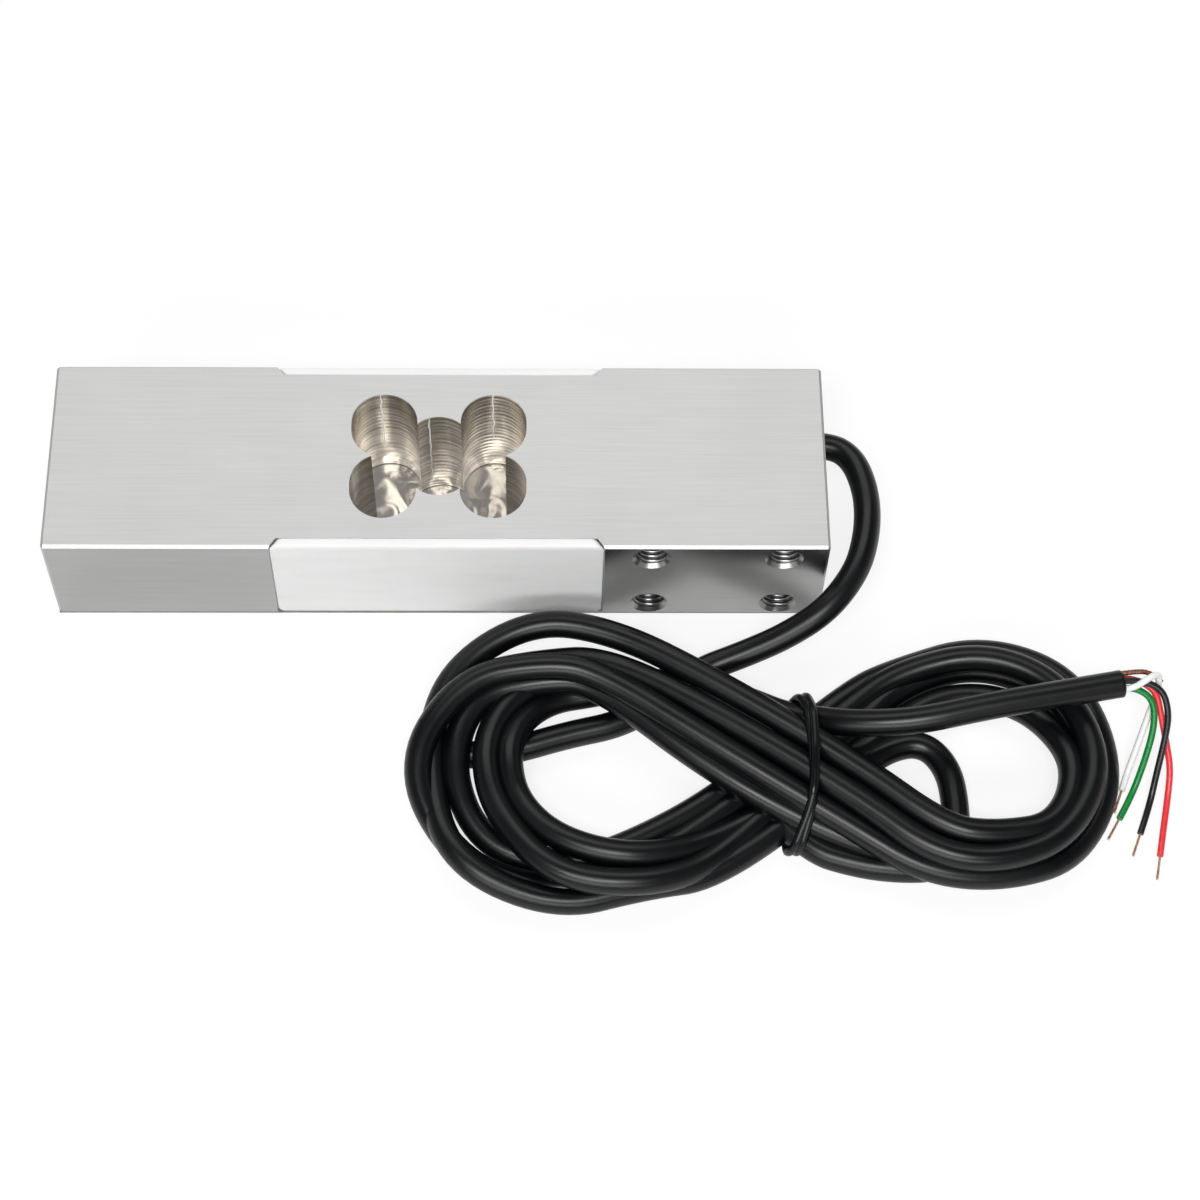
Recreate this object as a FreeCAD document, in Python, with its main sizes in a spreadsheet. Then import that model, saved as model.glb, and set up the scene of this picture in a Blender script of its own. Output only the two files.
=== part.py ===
import FreeCAD, Part
import math
import os
import Sketcher

# A straight bar load cell. The frame: the origin is the centre of the bar's bottom face, +X runs along the bar
# towards the cable, +Y to the rear face and +Z up through the cavity. All sizes are in millimetres.

SIZES = {
    # The bar, lying on its wide side
    "beam_length": 150.0,
    "beam_depth": 41.0,
    "beam_height": 26.0,
    "edge_chamfer": 0.5,
    # The flexure cavity: four lobes and a middle slot, all cut with one cutter
    "lobe_radius": 6.4,
    "lobe_spread": 21.2,
    "lobe_near": 5.95,
    "lobe_far": 7.6,
    "slot_reach": 2.5,
    # The gauge recesses across the front and rear faces
    "recess_length": 64.0,
    "recess_depth": 2.0,
    "recess_slope": 1.4,
    # The tapped holes at the base end of the front face and the platform end of the rear face
    "bolt_place": 53.7,
    "bolt_pitch_long": 25.4,
    "bolt_pitch_tall": 17.4,
    "bolt_radius": 3.0,
    "bolt_depth": 15.0,
    "bolt_sink_radius": 3.7,
    # The cable bore in the end face and the wire passage that joins it to both recesses
    "bore_place": 10.6,
    "bore_radius": 3.1,
    "passage_place": 24.0,
    "passage_radius": 2.2,
    # The cable, its seal and its cores
    "cable_radius": 2.65,
    "cable_inside": 3.2,
    "cable_straight": 2.5,
    "seal_length": 3.0,
    "seal_clearance": 0.02,
    "core_radius": 0.65,
    "core_spread": 1.05,
    "core_straight": 3.5,
    "strip_length": 5.0,
    "strand_radius": 0.27,
    "drain_radius": 0.4,
    # The white potting in the recesses
    "potting_gap": 0.25,
    "potting_inset": 0.1,
    "potting_shoulder": 0.9,
    "potting_end_round": 0.3,
    # The strain gauges: a film with a foil grid and two solder tabs
    "gauge_length": 9.0,
    "gauge_width": 7.0,
    "film_thickness": 0.15,
    "foil_thickness": 0.08,
    "grid_strand": 0.3,
    "grid_pitch": 0.8,
    "grid_length": 5.0,
    "tab_length": 1.6,
    "tab_width": 1.8,
    "tab_pitch": 3.6,
    # The terminal board, the rear strip and the trimming resistors
    "board_length": 8.0,
    "board_width": 15.0,
    "board_thickness": 0.8,
    "resistor_length": 2.0,
    "resistor_width": 1.25,
    "resistor_thickness": 0.5,
    "resistor_pitch": 5.0,
    # The wires inside the bar
    "jumper_radius": 0.15,
    "jumper_overlap": 0.8,
    "inner_core_radius": 0.45,
    "inner_core_pitch": 1.1,
    "bridge_wire_radius": 0.35,
    "bridge_wire_offset": 1.6,
    "bridge_wire_pitch": 0.8,
    "wire_lane": 1.2,
    "wire_bend": 1.2,
    "wire_clearance": 0.05,
    # The coil of cable and the rubber band round its crossing
    "coil_height": 12.0,
    "coil_round": 3.0,
    "band_thickness": 1.9,
    "band_round": 5.0,
    "band_edge": 0.6,
}

doc = FreeCAD.newDocument("bar_load_cell")
sheet = doc.addObject("Spreadsheet::Sheet", "sizes")
for row, (alias, number) in enumerate(SIZES.items(), start=1):
    sheet.set(f"A{row}", alias.replace("_", " "))
    sheet.set(f"B{row}", str(number))
    sheet.setAlias(f"B{row}", alias)
doc.recompute()

# Point numbers of sketch geometry
START_INDEX = 1
END_INDEX = 2
CENTRE_INDEX = 3
SKETCH_ORIGIN_INDEX = -1

# Lengths that several pieces share, as expressions on the sheet
HALF_LENGTH = "sizes.beam_length / 2"
HALF_DEPTH = "sizes.beam_depth / 2"
MID_HEIGHT = "sizes.beam_height / 2"
RECESS_FLOOR = "(sizes.beam_depth / 2 - sizes.recess_depth)"
RECESS_TOP_HALF = "sizes.recess_length / 2"
RECESS_FLOOR_HALF = "(sizes.recess_length / 2 - sizes.recess_slope)"
LOBE_PLACE = "sizes.lobe_spread / 2"
MIDDLE = "0"

COUNTERSINK_ANGLE = 90.0
FRONT_SIGN = -1
REAR_SIGN = 1
GRID_STRANDS = 6
TOUCHING = 1e-6

finished = []


def size(alias):
    """The present value of one driving dimension."""
    return float(sheet.get(alias))


def figure(expression):
    """The present value of an expression on the sheet."""
    return float(sheet.evalExpression(expression))


def keep(label, thing):
    """Name a finished sub-part and list it for writing."""
    thing.Label = label
    finished.append(thing)
    return thing


def keep_shape(label, shape):
    """Put a shape into the document as a finished sub-part."""
    thing = doc.addObject("Part::Feature", label)
    thing.Shape = shape
    return keep(label, thing)


# Sketches and features

def sketch_on(body, name, role, lift=None):
    """A sketch on one of the body's own origin planes, lifted along that plane's normal."""
    sketch = body.newObject("Sketcher::SketchObject", name)
    plane = next(feature for feature in body.Origin.OriginFeatures if feature.Role == role)
    sketch.AttachmentSupport = [(plane, "")]
    sketch.MapMode = "FlatFace"
    if lift:
        sketch.setExpression("AttachmentOffset.Base.z", lift)
    return sketch


def bind(sketch, expression, kind, *where):
    """Add a dimension to a sketch and tie it to an expression on the sheet."""
    index = sketch.addConstraint(Sketcher.Constraint(kind, *where, figure(expression)))
    sketch.setExpression(f"Constraints[{index}]", expression)


def pin(sketch, geometry, point, x, y):
    """Tie a point of a sketch to its place, measured from the sketch's origin."""
    bind(sketch, x, "DistanceX", SKETCH_ORIGIN_INDEX, START_INDEX, geometry, point)
    bind(sketch, y, "DistanceY", SKETCH_ORIGIN_INDEX, START_INDEX, geometry, point)


def spot(x, y):
    """A sketch point at the present values of two expressions."""
    return FreeCAD.Vector(figure(x), figure(y), 0)


def outline(sketch, corners):
    """A closed outline of straight sides with each corner tied to two expressions."""
    places = [spot(x, y) for x, y in corners]
    ends = places[1:] + places[:1]
    sides = [sketch.addGeometry(Part.LineSegment(a, b), False) for a, b in zip(places, ends)]
    for side, following in zip(sides, sides[1:] + sides[:1]):
        sketch.addConstraint(Sketcher.Constraint("Coincident", side, END_INDEX, following, START_INDEX))
    for side, (x, y) in zip(sides, corners):
        pin(sketch, side, START_INDEX, x, y)


def rectangle(sketch, left, right, bottom, top):
    """A rectangle between four expressions."""
    outline(sketch, [(left, bottom), (right, bottom), (right, top), (left, top)])


def circle(sketch, x, y, radius):
    """A circle tied to its centre and radius."""
    ring = Part.Circle(spot(x, y), FreeCAD.Vector(0, 0, 1), figure(radius))
    index = sketch.addGeometry(ring, False)
    pin(sketch, index, CENTRE_INDEX, x, y)
    bind(sketch, radius, "Radius", index)


def obround(sketch, x, low, high, radius):
    """A slot along the sketch's Y axis: two half circles with centres at low and high, joined by lines."""
    up = FreeCAD.Vector(0, 0, 1)
    reach = figure(radius)
    top = Part.ArcOfCircle(Part.Circle(spot(x, high), up, reach), 0, math.pi)
    base = Part.ArcOfCircle(Part.Circle(spot(x, low), up, reach), math.pi, 2 * math.pi)
    side = FreeCAD.Vector(reach, 0, 0)
    left = Part.LineSegment(spot(x, high) - side, spot(x, low) - side)
    right = Part.LineSegment(spot(x, low) + side, spot(x, high) + side)
    ring = [sketch.addGeometry(piece, False) for piece in (top, left, base, right)]
    for piece, following in zip(ring, ring[1:] + ring[:1]):
        sketch.addConstraint(Sketcher.Constraint("Tangent", piece, END_INDEX, following, START_INDEX))
    pin(sketch, ring[0], CENTRE_INDEX, x, high)
    pin(sketch, ring[2], CENTRE_INDEX, x, low)
    bind(sketch, radius, "Radius", ring[0])
    bind(sketch, radius, "Radius", ring[2])


def pad(body, sketch, name, length, against_normal=False):
    """Extrude a sketch into material."""
    feature = body.newObject("PartDesign::Pad", name)
    feature.Profile = sketch
    feature.Reversed = against_normal
    feature.setExpression("Length", length)
    doc.recompute()
    return feature


def cut_through(body, sketch, name):
    """Cut a sketch right through the body, both ways from its plane."""
    feature = body.newObject("PartDesign::Pocket", name)
    feature.Profile = sketch
    feature.Type = "ThroughAll"
    feature.SideType = "Symmetric"
    return compare_cut(feature)


def compare_cut(feature):
    """Recompute a cut and make sure that it took material away."""
    doc.recompute()
    before = feature.BaseFeature.Shape.Volume
    if feature.Shape.Volume >= before:
        raise RuntimeError(f"{feature.Name} cut nothing")
    return feature


def edges_on(shape, level, direction):
    """Names of a shape's straight edges that lie in the plane y = level and run along a direction."""
    chosen = []
    for number, edge in enumerate(shape.Edges, start=1):
        first, last = (vertex.Point for vertex in edge.Vertexes)
        run = (last - first).normalize()
        in_plane = abs(first.y - level) < TOUCHING and abs(last.y - level) < TOUCHING
        if in_plane and abs(abs(run * direction) - 1) < TOUCHING:
            chosen.append(f"Edge{number}")
    return chosen


# Wires and cables

def rounded_path(points, most_reach=None):
    """Straight runs joined by tangent arcs, each over 0.45 of its shorter run or over most_reach if less."""
    corners = [FreeCAD.Vector(*point) for point in points]
    edges = []
    radii = []
    start = corners[0]
    for before, corner, after in zip(corners, corners[1:], corners[2:]):
        back = before - corner
        ahead = after - corner
        reach = 0.45 * min(back.Length, ahead.Length)
        if most_reach:
            reach = min(reach, most_reach)
        back.normalize()
        ahead.normalize()
        half_turn = (math.pi - back.getAngle(ahead)) / 2
        radius = reach / math.tan(half_turn)
        inward = back + ahead
        inward.normalize()
        middle = corner + inward * (radius / math.cos(half_turn) - radius)
        edges.append(Part.LineSegment(start, corner + back * reach).toShape())
        edges.append(Part.Arc(corner + back * reach, middle, corner + ahead * reach).toShape())
        radii.append(radius)
        start = corner + ahead * reach
    edges.append(Part.LineSegment(start, corners[-1]).toShape())
    return Part.Wire(edges), radii


def tube(points, radius, most_reach=None):
    """A round wire along a path, its volume compared with section times length."""
    path, radii = rounded_path(points, most_reach)
    first = FreeCAD.Vector(*points[0])
    along = FreeCAD.Vector(*points[1]) - first
    section = Part.Wire([Part.Circle(first, along, radius).toShape()])
    solid = path.makePipeShell([section], True, False)
    expected = math.pi * radius ** 2 * path.Length
    if abs(solid.Volume / expected - 1) > 0.01:
        raise RuntimeError(f"tube volume {solid.Volume:.1f}, expected {expected:.1f}")
    return solid, path.Length, radii


def cable(label, points, radius):
    """A free cable's tube, with its length and bend radii printed."""
    solid, length, radii = tube(points, radius)
    shown = " ".join(f"{bend:.1f}" for bend in radii)
    print(f"{label}: length {length:.1f}, radii {shown}")
    return solid


# The beam

def tapped_holes(body, name, face, centre):
    """Four countersunk holes drilled into the front or rear face."""
    centres = sketch_on(body, f"{name}_centres", "XZ_Plane", f"{-face} * {HALF_DEPTH}")
    for along in (-1, 1):
        for level in (-1, 1):
            x = f"{centre} + {along} * sizes.bolt_pitch_long / 2"
            z = f"{MID_HEIGHT} + {level} * sizes.bolt_pitch_tall / 2"
            circle(centres, x, z, "sizes.bolt_radius")
    doc.recompute()
    hole = body.newObject("PartDesign::Hole", name)
    hole.Profile = centres
    hole.Reversed = face == REAR_SIGN
    hole.DepthType = "Dimension"
    hole.DrillPoint = "Angled"
    hole.HoleCutType = "Countersink"
    hole.HoleCutCustomValues = True
    hole.HoleCutCountersinkAngle = COUNTERSINK_ANGLE
    hole.setExpression("Diameter", "2 * sizes.bolt_radius")
    hole.setExpression("Depth", "sizes.bolt_depth")
    hole.setExpression("HoleCutDiameter", "2 * sizes.bolt_sink_radius")
    compare_cut(hole)


def make_beam():
    """The bar: a chamfered blank, two gauge recesses, the flexure cavity, tapped holes, bore and passage."""
    body = doc.addObject("PartDesign::Body", "beam_body")
    base = sketch_on(body, "blank_outline", "XY_Plane")
    rectangle(base, f"-{HALF_LENGTH}", HALF_LENGTH, f"-{HALF_DEPTH}", HALF_DEPTH)
    blank = pad(body, base, "blank", "sizes.beam_height")
    broken = body.newObject("PartDesign::Chamfer", "broken_edges")
    broken.Base = (blank, [f"Edge{number}" for number in range(1, len(blank.Shape.Edges) + 1)])
    broken.setExpression("Size", "sizes.edge_chamfer")
    compare_cut(broken)

    recesses = sketch_on(body, "recess_outlines", "XY_Plane")
    for face in (FRONT_SIGN, REAR_SIGN):
        outer = f"{face} * {HALF_DEPTH}"
        inner = f"{face} * {RECESS_FLOOR}"
        outline(recesses, [
            (f"-{RECESS_TOP_HALF}", outer),
            (RECESS_TOP_HALF, outer),
            (RECESS_FLOOR_HALF, inner),
            (f"-{RECESS_FLOOR_HALF}", inner),
        ])
    cut_through(body, recesses, "gauge_recesses")

    for face, name in ((FRONT_SIGN, "front"), (REAR_SIGN, "rear")):
        lobes = sketch_on(body, f"{name}_lobe_outlines", "XY_Plane")
        ends = sorted((f"{face} * sizes.lobe_near", f"{face} * sizes.lobe_far"), key=figure)
        for along in (-1, 1):
            obround(lobes, f"{along} * {LOBE_PLACE}", *ends, "sizes.lobe_radius")
        cut_through(body, lobes, f"{name}_lobes")
    slot = sketch_on(body, "middle_slot_outline", "XY_Plane")
    obround(slot, MIDDLE, "-sizes.slot_reach", "sizes.slot_reach", "sizes.lobe_radius")
    cut_through(body, slot, "middle_slot")
    core = sketch_on(body, "core_outline", "XY_Plane")
    rectangle(core, f"-{LOBE_PLACE}", LOBE_PLACE, "-sizes.lobe_near", "sizes.lobe_near")
    cut_through(body, core, "cleared_core")

    passage = sketch_on(body, "passage_outline", "XZ_Plane")
    circle(passage, "sizes.passage_place", MID_HEIGHT, "sizes.passage_radius")
    cut_through(body, passage, "wire_passage")

    mouth = sketch_on(body, "bore_outline", "YZ_Plane", HALF_LENGTH)
    circle(mouth, "sizes.bore_place", MID_HEIGHT, "sizes.bore_radius")
    bore = body.newObject("PartDesign::Pocket", "cable_bore")
    bore.Profile = mouth
    bore.setExpression("Length", f"{HALF_LENGTH} - sizes.passage_place")
    compare_cut(bore)

    tapped_holes(body, "base_holes", FRONT_SIGN, "sizes.bolt_place")
    tapped_holes(body, "platform_holes", REAR_SIGN, "-sizes.bolt_place")
    return keep("beam_body", body)


# Gauges, boards and wires inside the recesses

def make_gauge(label, face, side):
    """A foil gauge on the recess floor over one lobe: film, grid strands and solder tabs."""
    body = doc.addObject("PartDesign::Body", label)
    lift = f"{-face} * {RECESS_FLOOR}"
    centre = f"{side} * {LOBE_PLACE}"
    against = face == REAR_SIGN
    film_outline = sketch_on(body, "film_outline", "XZ_Plane", lift)
    rectangle(film_outline, f"{centre} - sizes.gauge_length / 2", f"{centre} + sizes.gauge_length / 2",
              f"{MID_HEIGHT} - sizes.gauge_width / 2", f"{MID_HEIGHT} + sizes.gauge_width / 2")
    pad(body, film_outline, "film", "sizes.film_thickness", against)

    foil = "sizes.film_thickness + sizes.foil_thickness"
    inner_end = f"{centre} - {side} * sizes.gauge_length / 2"
    tab_end = f"{inner_end} + {side} * sizes.tab_length"
    grid_end = f"{tab_end} + {side} * sizes.grid_length"
    grid = sketch_on(body, "grid_outline", "XZ_Plane", lift)
    lowest = f"{MID_HEIGHT} - {(GRID_STRANDS - 1) / 2} * sizes.grid_pitch - sizes.grid_strand / 2"
    rectangle(grid, tab_end, grid_end, lowest, f"{lowest} + sizes.grid_strand")
    strand = pad(body, grid, "grid_strand", foil, against)
    pattern = body.newObject("PartDesign::LinearPattern", "grid")
    pattern.Originals = [strand]
    pattern.Direction = (grid, ["V_Axis"])
    pattern.Occurrences = GRID_STRANDS
    pattern.setExpression("Length", f"{GRID_STRANDS - 1} * sizes.grid_pitch")
    body.Tip = pattern
    doc.recompute()

    tabs = sketch_on(body, "tab_outlines", "XZ_Plane", lift)
    for level in (-1, 1):
        middle = f"{MID_HEIGHT} + {level} * sizes.tab_pitch / 2"
        low = f"{middle} - sizes.tab_width / 2"
        rectangle(tabs, inner_end, tab_end, low, f"{low} + sizes.tab_width")
    pad(body, tabs, "solder_tabs", foil, against)
    return keep(label, body)


def make_block(label, length, width, thickness, x, floor, z, face):
    """A flat block on a floor parallel to the recess: length along X, width along Z, thickness outward."""
    block = doc.addObject("Part::Box", label)
    block.setExpression("Length", length)
    block.setExpression("Width", thickness)
    block.setExpression("Height", width)
    near = f"{face} * ({floor})"
    if face == FRONT_SIGN:
        near = f"{near} - {thickness}"
    block.setExpression("Placement.Base.x", f"{x} - {length} / 2")
    block.setExpression("Placement.Base.y", near)
    block.setExpression("Placement.Base.z", f"{z} - {width} / 2")
    return block


def make_board(label, face):
    """A terminal board in the middle of a recess floor."""
    board = make_block(label, "sizes.board_length", "sizes.board_width", "sizes.board_thickness",
                       MIDDLE, RECESS_FLOOR, MID_HEIGHT, face)
    return keep(label, board)


def make_resistors():
    """Two trimming resistors on the front board, one solid each."""
    top = f"{RECESS_FLOOR} + sizes.board_thickness"
    chips = []
    for level in (-1, 1):
        z = f"{MID_HEIGHT} + {level} * sizes.resistor_pitch / 2"
        chips.append(make_block("resistor", "sizes.resistor_length", "sizes.resistor_width",
                                "sizes.resistor_thickness", MIDDLE, top, z, FRONT_SIGN))
    group = doc.addObject("Part::Compound", "trim_resistors")
    group.Links = chips
    return keep("trim_resistors", group)


def make_jumpers(label, face):
    """Straight jumper wires from the solder tabs to the edge of the board."""
    board_edge = size("board_length") / 2
    tab_inner = figure(LOBE_PLACE) - size("gauge_length") / 2
    length = tab_inner + size("jumper_overlap") - board_edge
    tab_face = figure(RECESS_FLOOR) + size("film_thickness") + size("foil_thickness")
    y = face * (tab_face + size("wire_clearance") + size("jumper_radius"))
    jumpers = []
    for side in (-1, 1):
        for level in (-1, 1):
            z = figure(MID_HEIGHT) + level * size("tab_pitch") / 2
            root = FreeCAD.Vector(side * board_edge, y, z)
            jumpers.append(Part.makeCylinder(size("jumper_radius"), length, root, FreeCAD.Vector(side, 0, 0)))
    return keep_shape(label, Part.makeCompound(jumpers))


def lane(number):
    """Distance of a wire's lane from the gauge's centre line, counted outwards from the gauge's edge."""
    return size("gauge_width") / 2 + (number + 0.5) * size("wire_lane")


def lying(radius):
    """Distance of a wire's axis from the bar's middle plane when it lies on a recess floor."""
    return figure(RECESS_FLOOR) + size("wire_clearance") + radius


def make_bridge_wires():
    """Two wires from the rear strip, through the passage beside the cores, to the front board."""
    radius = size("bridge_wire_radius")
    edge = size("board_length") / 2
    turn = size("passage_place") - size("bridge_wire_offset")
    middle = figure(MID_HEIGHT)
    wires = []
    for level in (-1, 1):
        inner = middle + level * size("bridge_wire_pitch") / 2
        outer = middle + level * lane(0)
        y = lying(radius)
        points = [(edge, -y, outer), (turn, -y, outer), (turn, -y, inner),
                  (turn, y, inner), (turn, y, outer), (edge, y, outer)]
        wires.append(tube(points, radius, size("wire_bend"))[0])
    return keep_shape("bridge_wires", Part.makeCompound(wires))


def make_inner_cores():
    """Four cores from the cable's inner end, along the bore, through the passage and to the front board."""
    radius = size("inner_core_radius")
    start = figure(HALF_LENGTH) - size("cable_inside")
    edge = size("board_length") / 2
    middle = figure(MID_HEIGHT)
    y = lying(radius)
    cores = []
    for column in (-1, 1):
        across = column * size("inner_core_pitch") / 2
        for level in (-1, 1):
            inner = middle + level * size("inner_core_pitch") / 2
            outer = middle + level * lane(1 if column > 0 else 2)
            turn = size("passage_place") - across
            entry = size("bore_place") + across
            points = [(start, entry, inner), (turn, entry, inner), (turn, -y, inner),
                      (turn, -y, outer), (edge, -y, outer)]
            cores.append(tube(points, radius, size("wire_bend"))[0])
    return keep_shape("inner_cores", Part.makeCompound(cores))


def make_potting(label, face, buried):
    """White potting that fills a recess flush with the face, moulded round what is buried in it."""
    body = doc.addObject("PartDesign::Body", f"{label}_blank")
    outer = f"{face} * ({HALF_DEPTH} - sizes.potting_inset)"
    inner = f"{face} * {RECESS_FLOOR}"
    wide = f"({RECESS_TOP_HALF} - sizes.potting_gap)"
    narrow = f"({RECESS_FLOOR_HALF} - sizes.potting_gap)"
    section = sketch_on(body, "potting_section", "XY_Plane", "sizes.potting_inset")
    outline(section, [(f"-{wide}", outer), (wide, outer), (narrow, inner), (f"-{narrow}", inner)])
    fill = pad(body, section, "fill", "sizes.beam_height - 2 * sizes.potting_inset")
    level = figure(outer)
    shoulder = body.newObject("PartDesign::Fillet", "rounded_shoulders")
    shoulder.Base = (fill, edges_on(fill.Shape, level, FreeCAD.Vector(1, 0, 0)))
    shoulder.setExpression("Radius", "sizes.potting_shoulder")
    compare_cut(shoulder)
    ends = body.newObject("PartDesign::Fillet", "rounded_ends")
    ends.Base = (shoulder, edges_on(shoulder.Shape, level, FreeCAD.Vector(0, 0, 1)))
    ends.setExpression("Radius", "sizes.potting_end_round")
    compare_cut(ends)
    potting = body
    for number, piece in enumerate(buried, start=1):
        moulded = doc.addObject("Part::Cut", f"{label}_round_{number}")
        moulded.Base = potting
        moulded.Tool = piece
        potting = moulded
    doc.recompute()
    return keep(label, potting)


# The cable outside the bar, as it lies on the surface that the bar rests on

LEAD_END = [
    (82.5, 7.7, 13.1),
    (85.3, 2.2, 13.3),
    (86.0, -4.8, 13.6),
    (85.2, -12.6, 13.8),
    (82.8, -19.8, 13.7),
    (76.2, -27.0, 12.2),
    (67.6, -30.3, 8.6),
    (58.4, -33.0, 5.0),
    (49.4, -36.4, 2.7),
]
TAIL = [
    (57.9, -42.0, 8.0),
    (66.6, -48.2, 11.4),
    (77.4, -51.9, 14.5),
    (90.6, -51.0, 14.8),
    (104.4, -48.4, 14.8),
    (117.6, -46.0, 14.7),
    (130.1, -43.7, 14.7),
]
CORE_ROUTES = {
    "red": [(137.0, -44.3, 13.6), (138.2, -48.2, 10.3), (139.4, -52.6, 7.0), (140.2, -56.9, 4.6),
            (139.6, -61.8, 2.0), (138.5, -67.3, 0.8), (137.2, -73.2, 0.75)],
    "black": [(137.8, -44.5, 15.0), (139.4, -48.4, 12.0), (138.8, -52.4, 8.9), (137.5, -57.6, 4.2),
              (136.1, -63.2, 0.8), (133.9, -68.6, 0.75)],
    "green": [(136.3, -46.1, 13.4), (136.9, -50.0, 9.8), (135.6, -55.1, 5.0), (133.4, -61.0, 0.8),
              (130.9, -65.6, 0.75)],
    "white": [(135.5, -45.1, 12.4), (135.9, -48.8, 9.2), (134.5, -52.6, 5.2), (132.4, -56.2, 1.8),
              (131.0, -59.4, 0.8), (130.4, -61.6, 0.75)],
}
DRAIN = [(136.0, -41.3, 15.2), (138.2, -42.7, 13.6)]

# The outline of the coil seen from above: two lobes, the pinch under the band, and the opening in each lobe
COIL_LEFT = [(45.0, -30.6), (-6.0, -55.4), (44.0, -82.8)]
COIL_RIGHT = [(90.0, -79.5), (130.0, -55.2), (88.0, -34.2)]
PINCH_REAR = (70.5, -42.6)
PINCH_FRONT = (68.0, -75.0)
OPENING_LEFT = [(52.0, -60.1), (31.0, -45.2), (16.8, -57.3), (31.0, -70.0)]
OPENING_RIGHT = [(86.0, -57.2), (105.0, -46.8), (118.3, -59.0), (105.0, -67.3)]


def flat(point, height=0.0):
    """A plan point at a height."""
    return FreeCAD.Vector(point[0], point[1], height)


def plan_line(a, b):
    """A straight edge between two plan points."""
    return Part.LineSegment(flat(a), flat(b)).toShape()


def plan_arc(a, b, c):
    """An arc through three plan points."""
    return Part.Arc(flat(a), flat(b), flat(c)).toShape()


def coil_blank():
    """The outer shape of the figure-of-eight coil, with the two lobes open."""
    rim = Part.Wire([
        plan_arc(*COIL_LEFT),
        plan_line(COIL_LEFT[-1], PINCH_FRONT),
        plan_line(PINCH_FRONT, COIL_RIGHT[0]),
        plan_arc(*COIL_RIGHT),
        plan_line(COIL_RIGHT[-1], PINCH_REAR),
        plan_line(PINCH_REAR, COIL_LEFT[0]),
    ])
    rise = FreeCAD.Vector(0, 0, size("coil_height"))
    coil = Part.Face(rim).extrude(rise)
    top = size("coil_height")
    upper = [edge for edge in coil.Edges if all(abs(v.Z - top) < TOUCHING for v in edge.Vertexes)]
    coil = coil.makeFillet(size("coil_round"), upper)
    for tip, over, far, under in (OPENING_LEFT, OPENING_RIGHT):
        hole = Part.Wire([plan_arc(tip, over, far), plan_arc(far, under, tip)])
        coil = coil.cut(Part.Face(hole).extrude(rise))
    return coil


def rounded_frame(half, low, high, radius):
    """A face in the XZ plane bounded by a rectangle with rounded corners."""
    arcs = []
    for x, z, first in ((half, high, 0), (-half, high, 90), (-half, low, 180), (half, low, 270)):
        inset = math.copysign(radius, z - (low + high) / 2)
        centre = FreeCAD.Vector(x - math.copysign(radius, x), 0, z - inset)
        turn = [math.radians(first + step) for step in (0, 45, 90)]
        arcs.append([centre + FreeCAD.Vector(math.cos(a), 0, math.sin(a)) * radius for a in turn])
    edges = []
    for arc, following in zip(arcs, arcs[1:] + arcs[:1]):
        edges.append(Part.Arc(*arc).toShape())
        edges.append(Part.LineSegment(arc[-1], following[0]).toShape())
    return Part.Face(Part.Wire(edges))


def make_band():
    """The rubber band: a rounded frame round the pinch of the coil, a little wider than the coil there."""
    thick = size("band_thickness")
    front = flat(PINCH_FRONT)
    rear = flat(PINCH_REAR)
    half = (rear - front).Length / 2
    low = size("wire_clearance")
    high = size("coil_height") + low + thick
    outside = rounded_frame(half + thick / 2, low, high, size("band_round"))
    inside = rounded_frame(half - thick / 2, low + thick, high - thick, size("band_round") - thick)
    band = outside.cut(inside).extrude(FreeCAD.Vector(0, thick, 0))
    band = band.makeFillet(size("band_edge"), band.Edges)
    across = rear - front
    angle = math.degrees(math.atan2(across.y, across.x))
    band.translate(FreeCAD.Vector(0, -thick / 2, 0))
    band.rotate(FreeCAD.Vector(0, 0, 0), FreeCAD.Vector(0, 0, 1), angle)
    band.translate((front + rear) * 0.5)
    return band


def make_cable():
    """The seal, the lead, the coil with its band, and the tail up to the cut end."""
    radius = size("cable_radius")
    mouth = FreeCAD.Vector(figure(HALF_LENGTH), size("bore_place"), figure(MID_HEIGHT))
    inward = FreeCAD.Vector(-1, 0, 0)
    gap = size("seal_clearance")
    ring = Part.makeCylinder(size("bore_radius") - gap, size("seal_length"), mouth, inward)
    keep_shape("cable_seal", ring.cut(Part.makeCylinder(radius + gap, size("seal_length"), mouth, inward)))

    inner_end = mouth + inward * size("cable_inside")
    leaving = mouth - inward * size("cable_straight")
    lead = cable("cable_lead", [tuple(inner_end), tuple(leaving)] + LEAD_END, radius)
    tail = cable("cable_tail", TAIL, radius)
    coil = coil_blank()
    band = make_band()
    keep_shape("cable_lead", lead.cut(coil))
    keep_shape("cable_coil", coil.cut(band))
    keep_shape("cable_tail", tail.cut(coil).cut(band))
    keep_shape("cable_tie", band)


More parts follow.
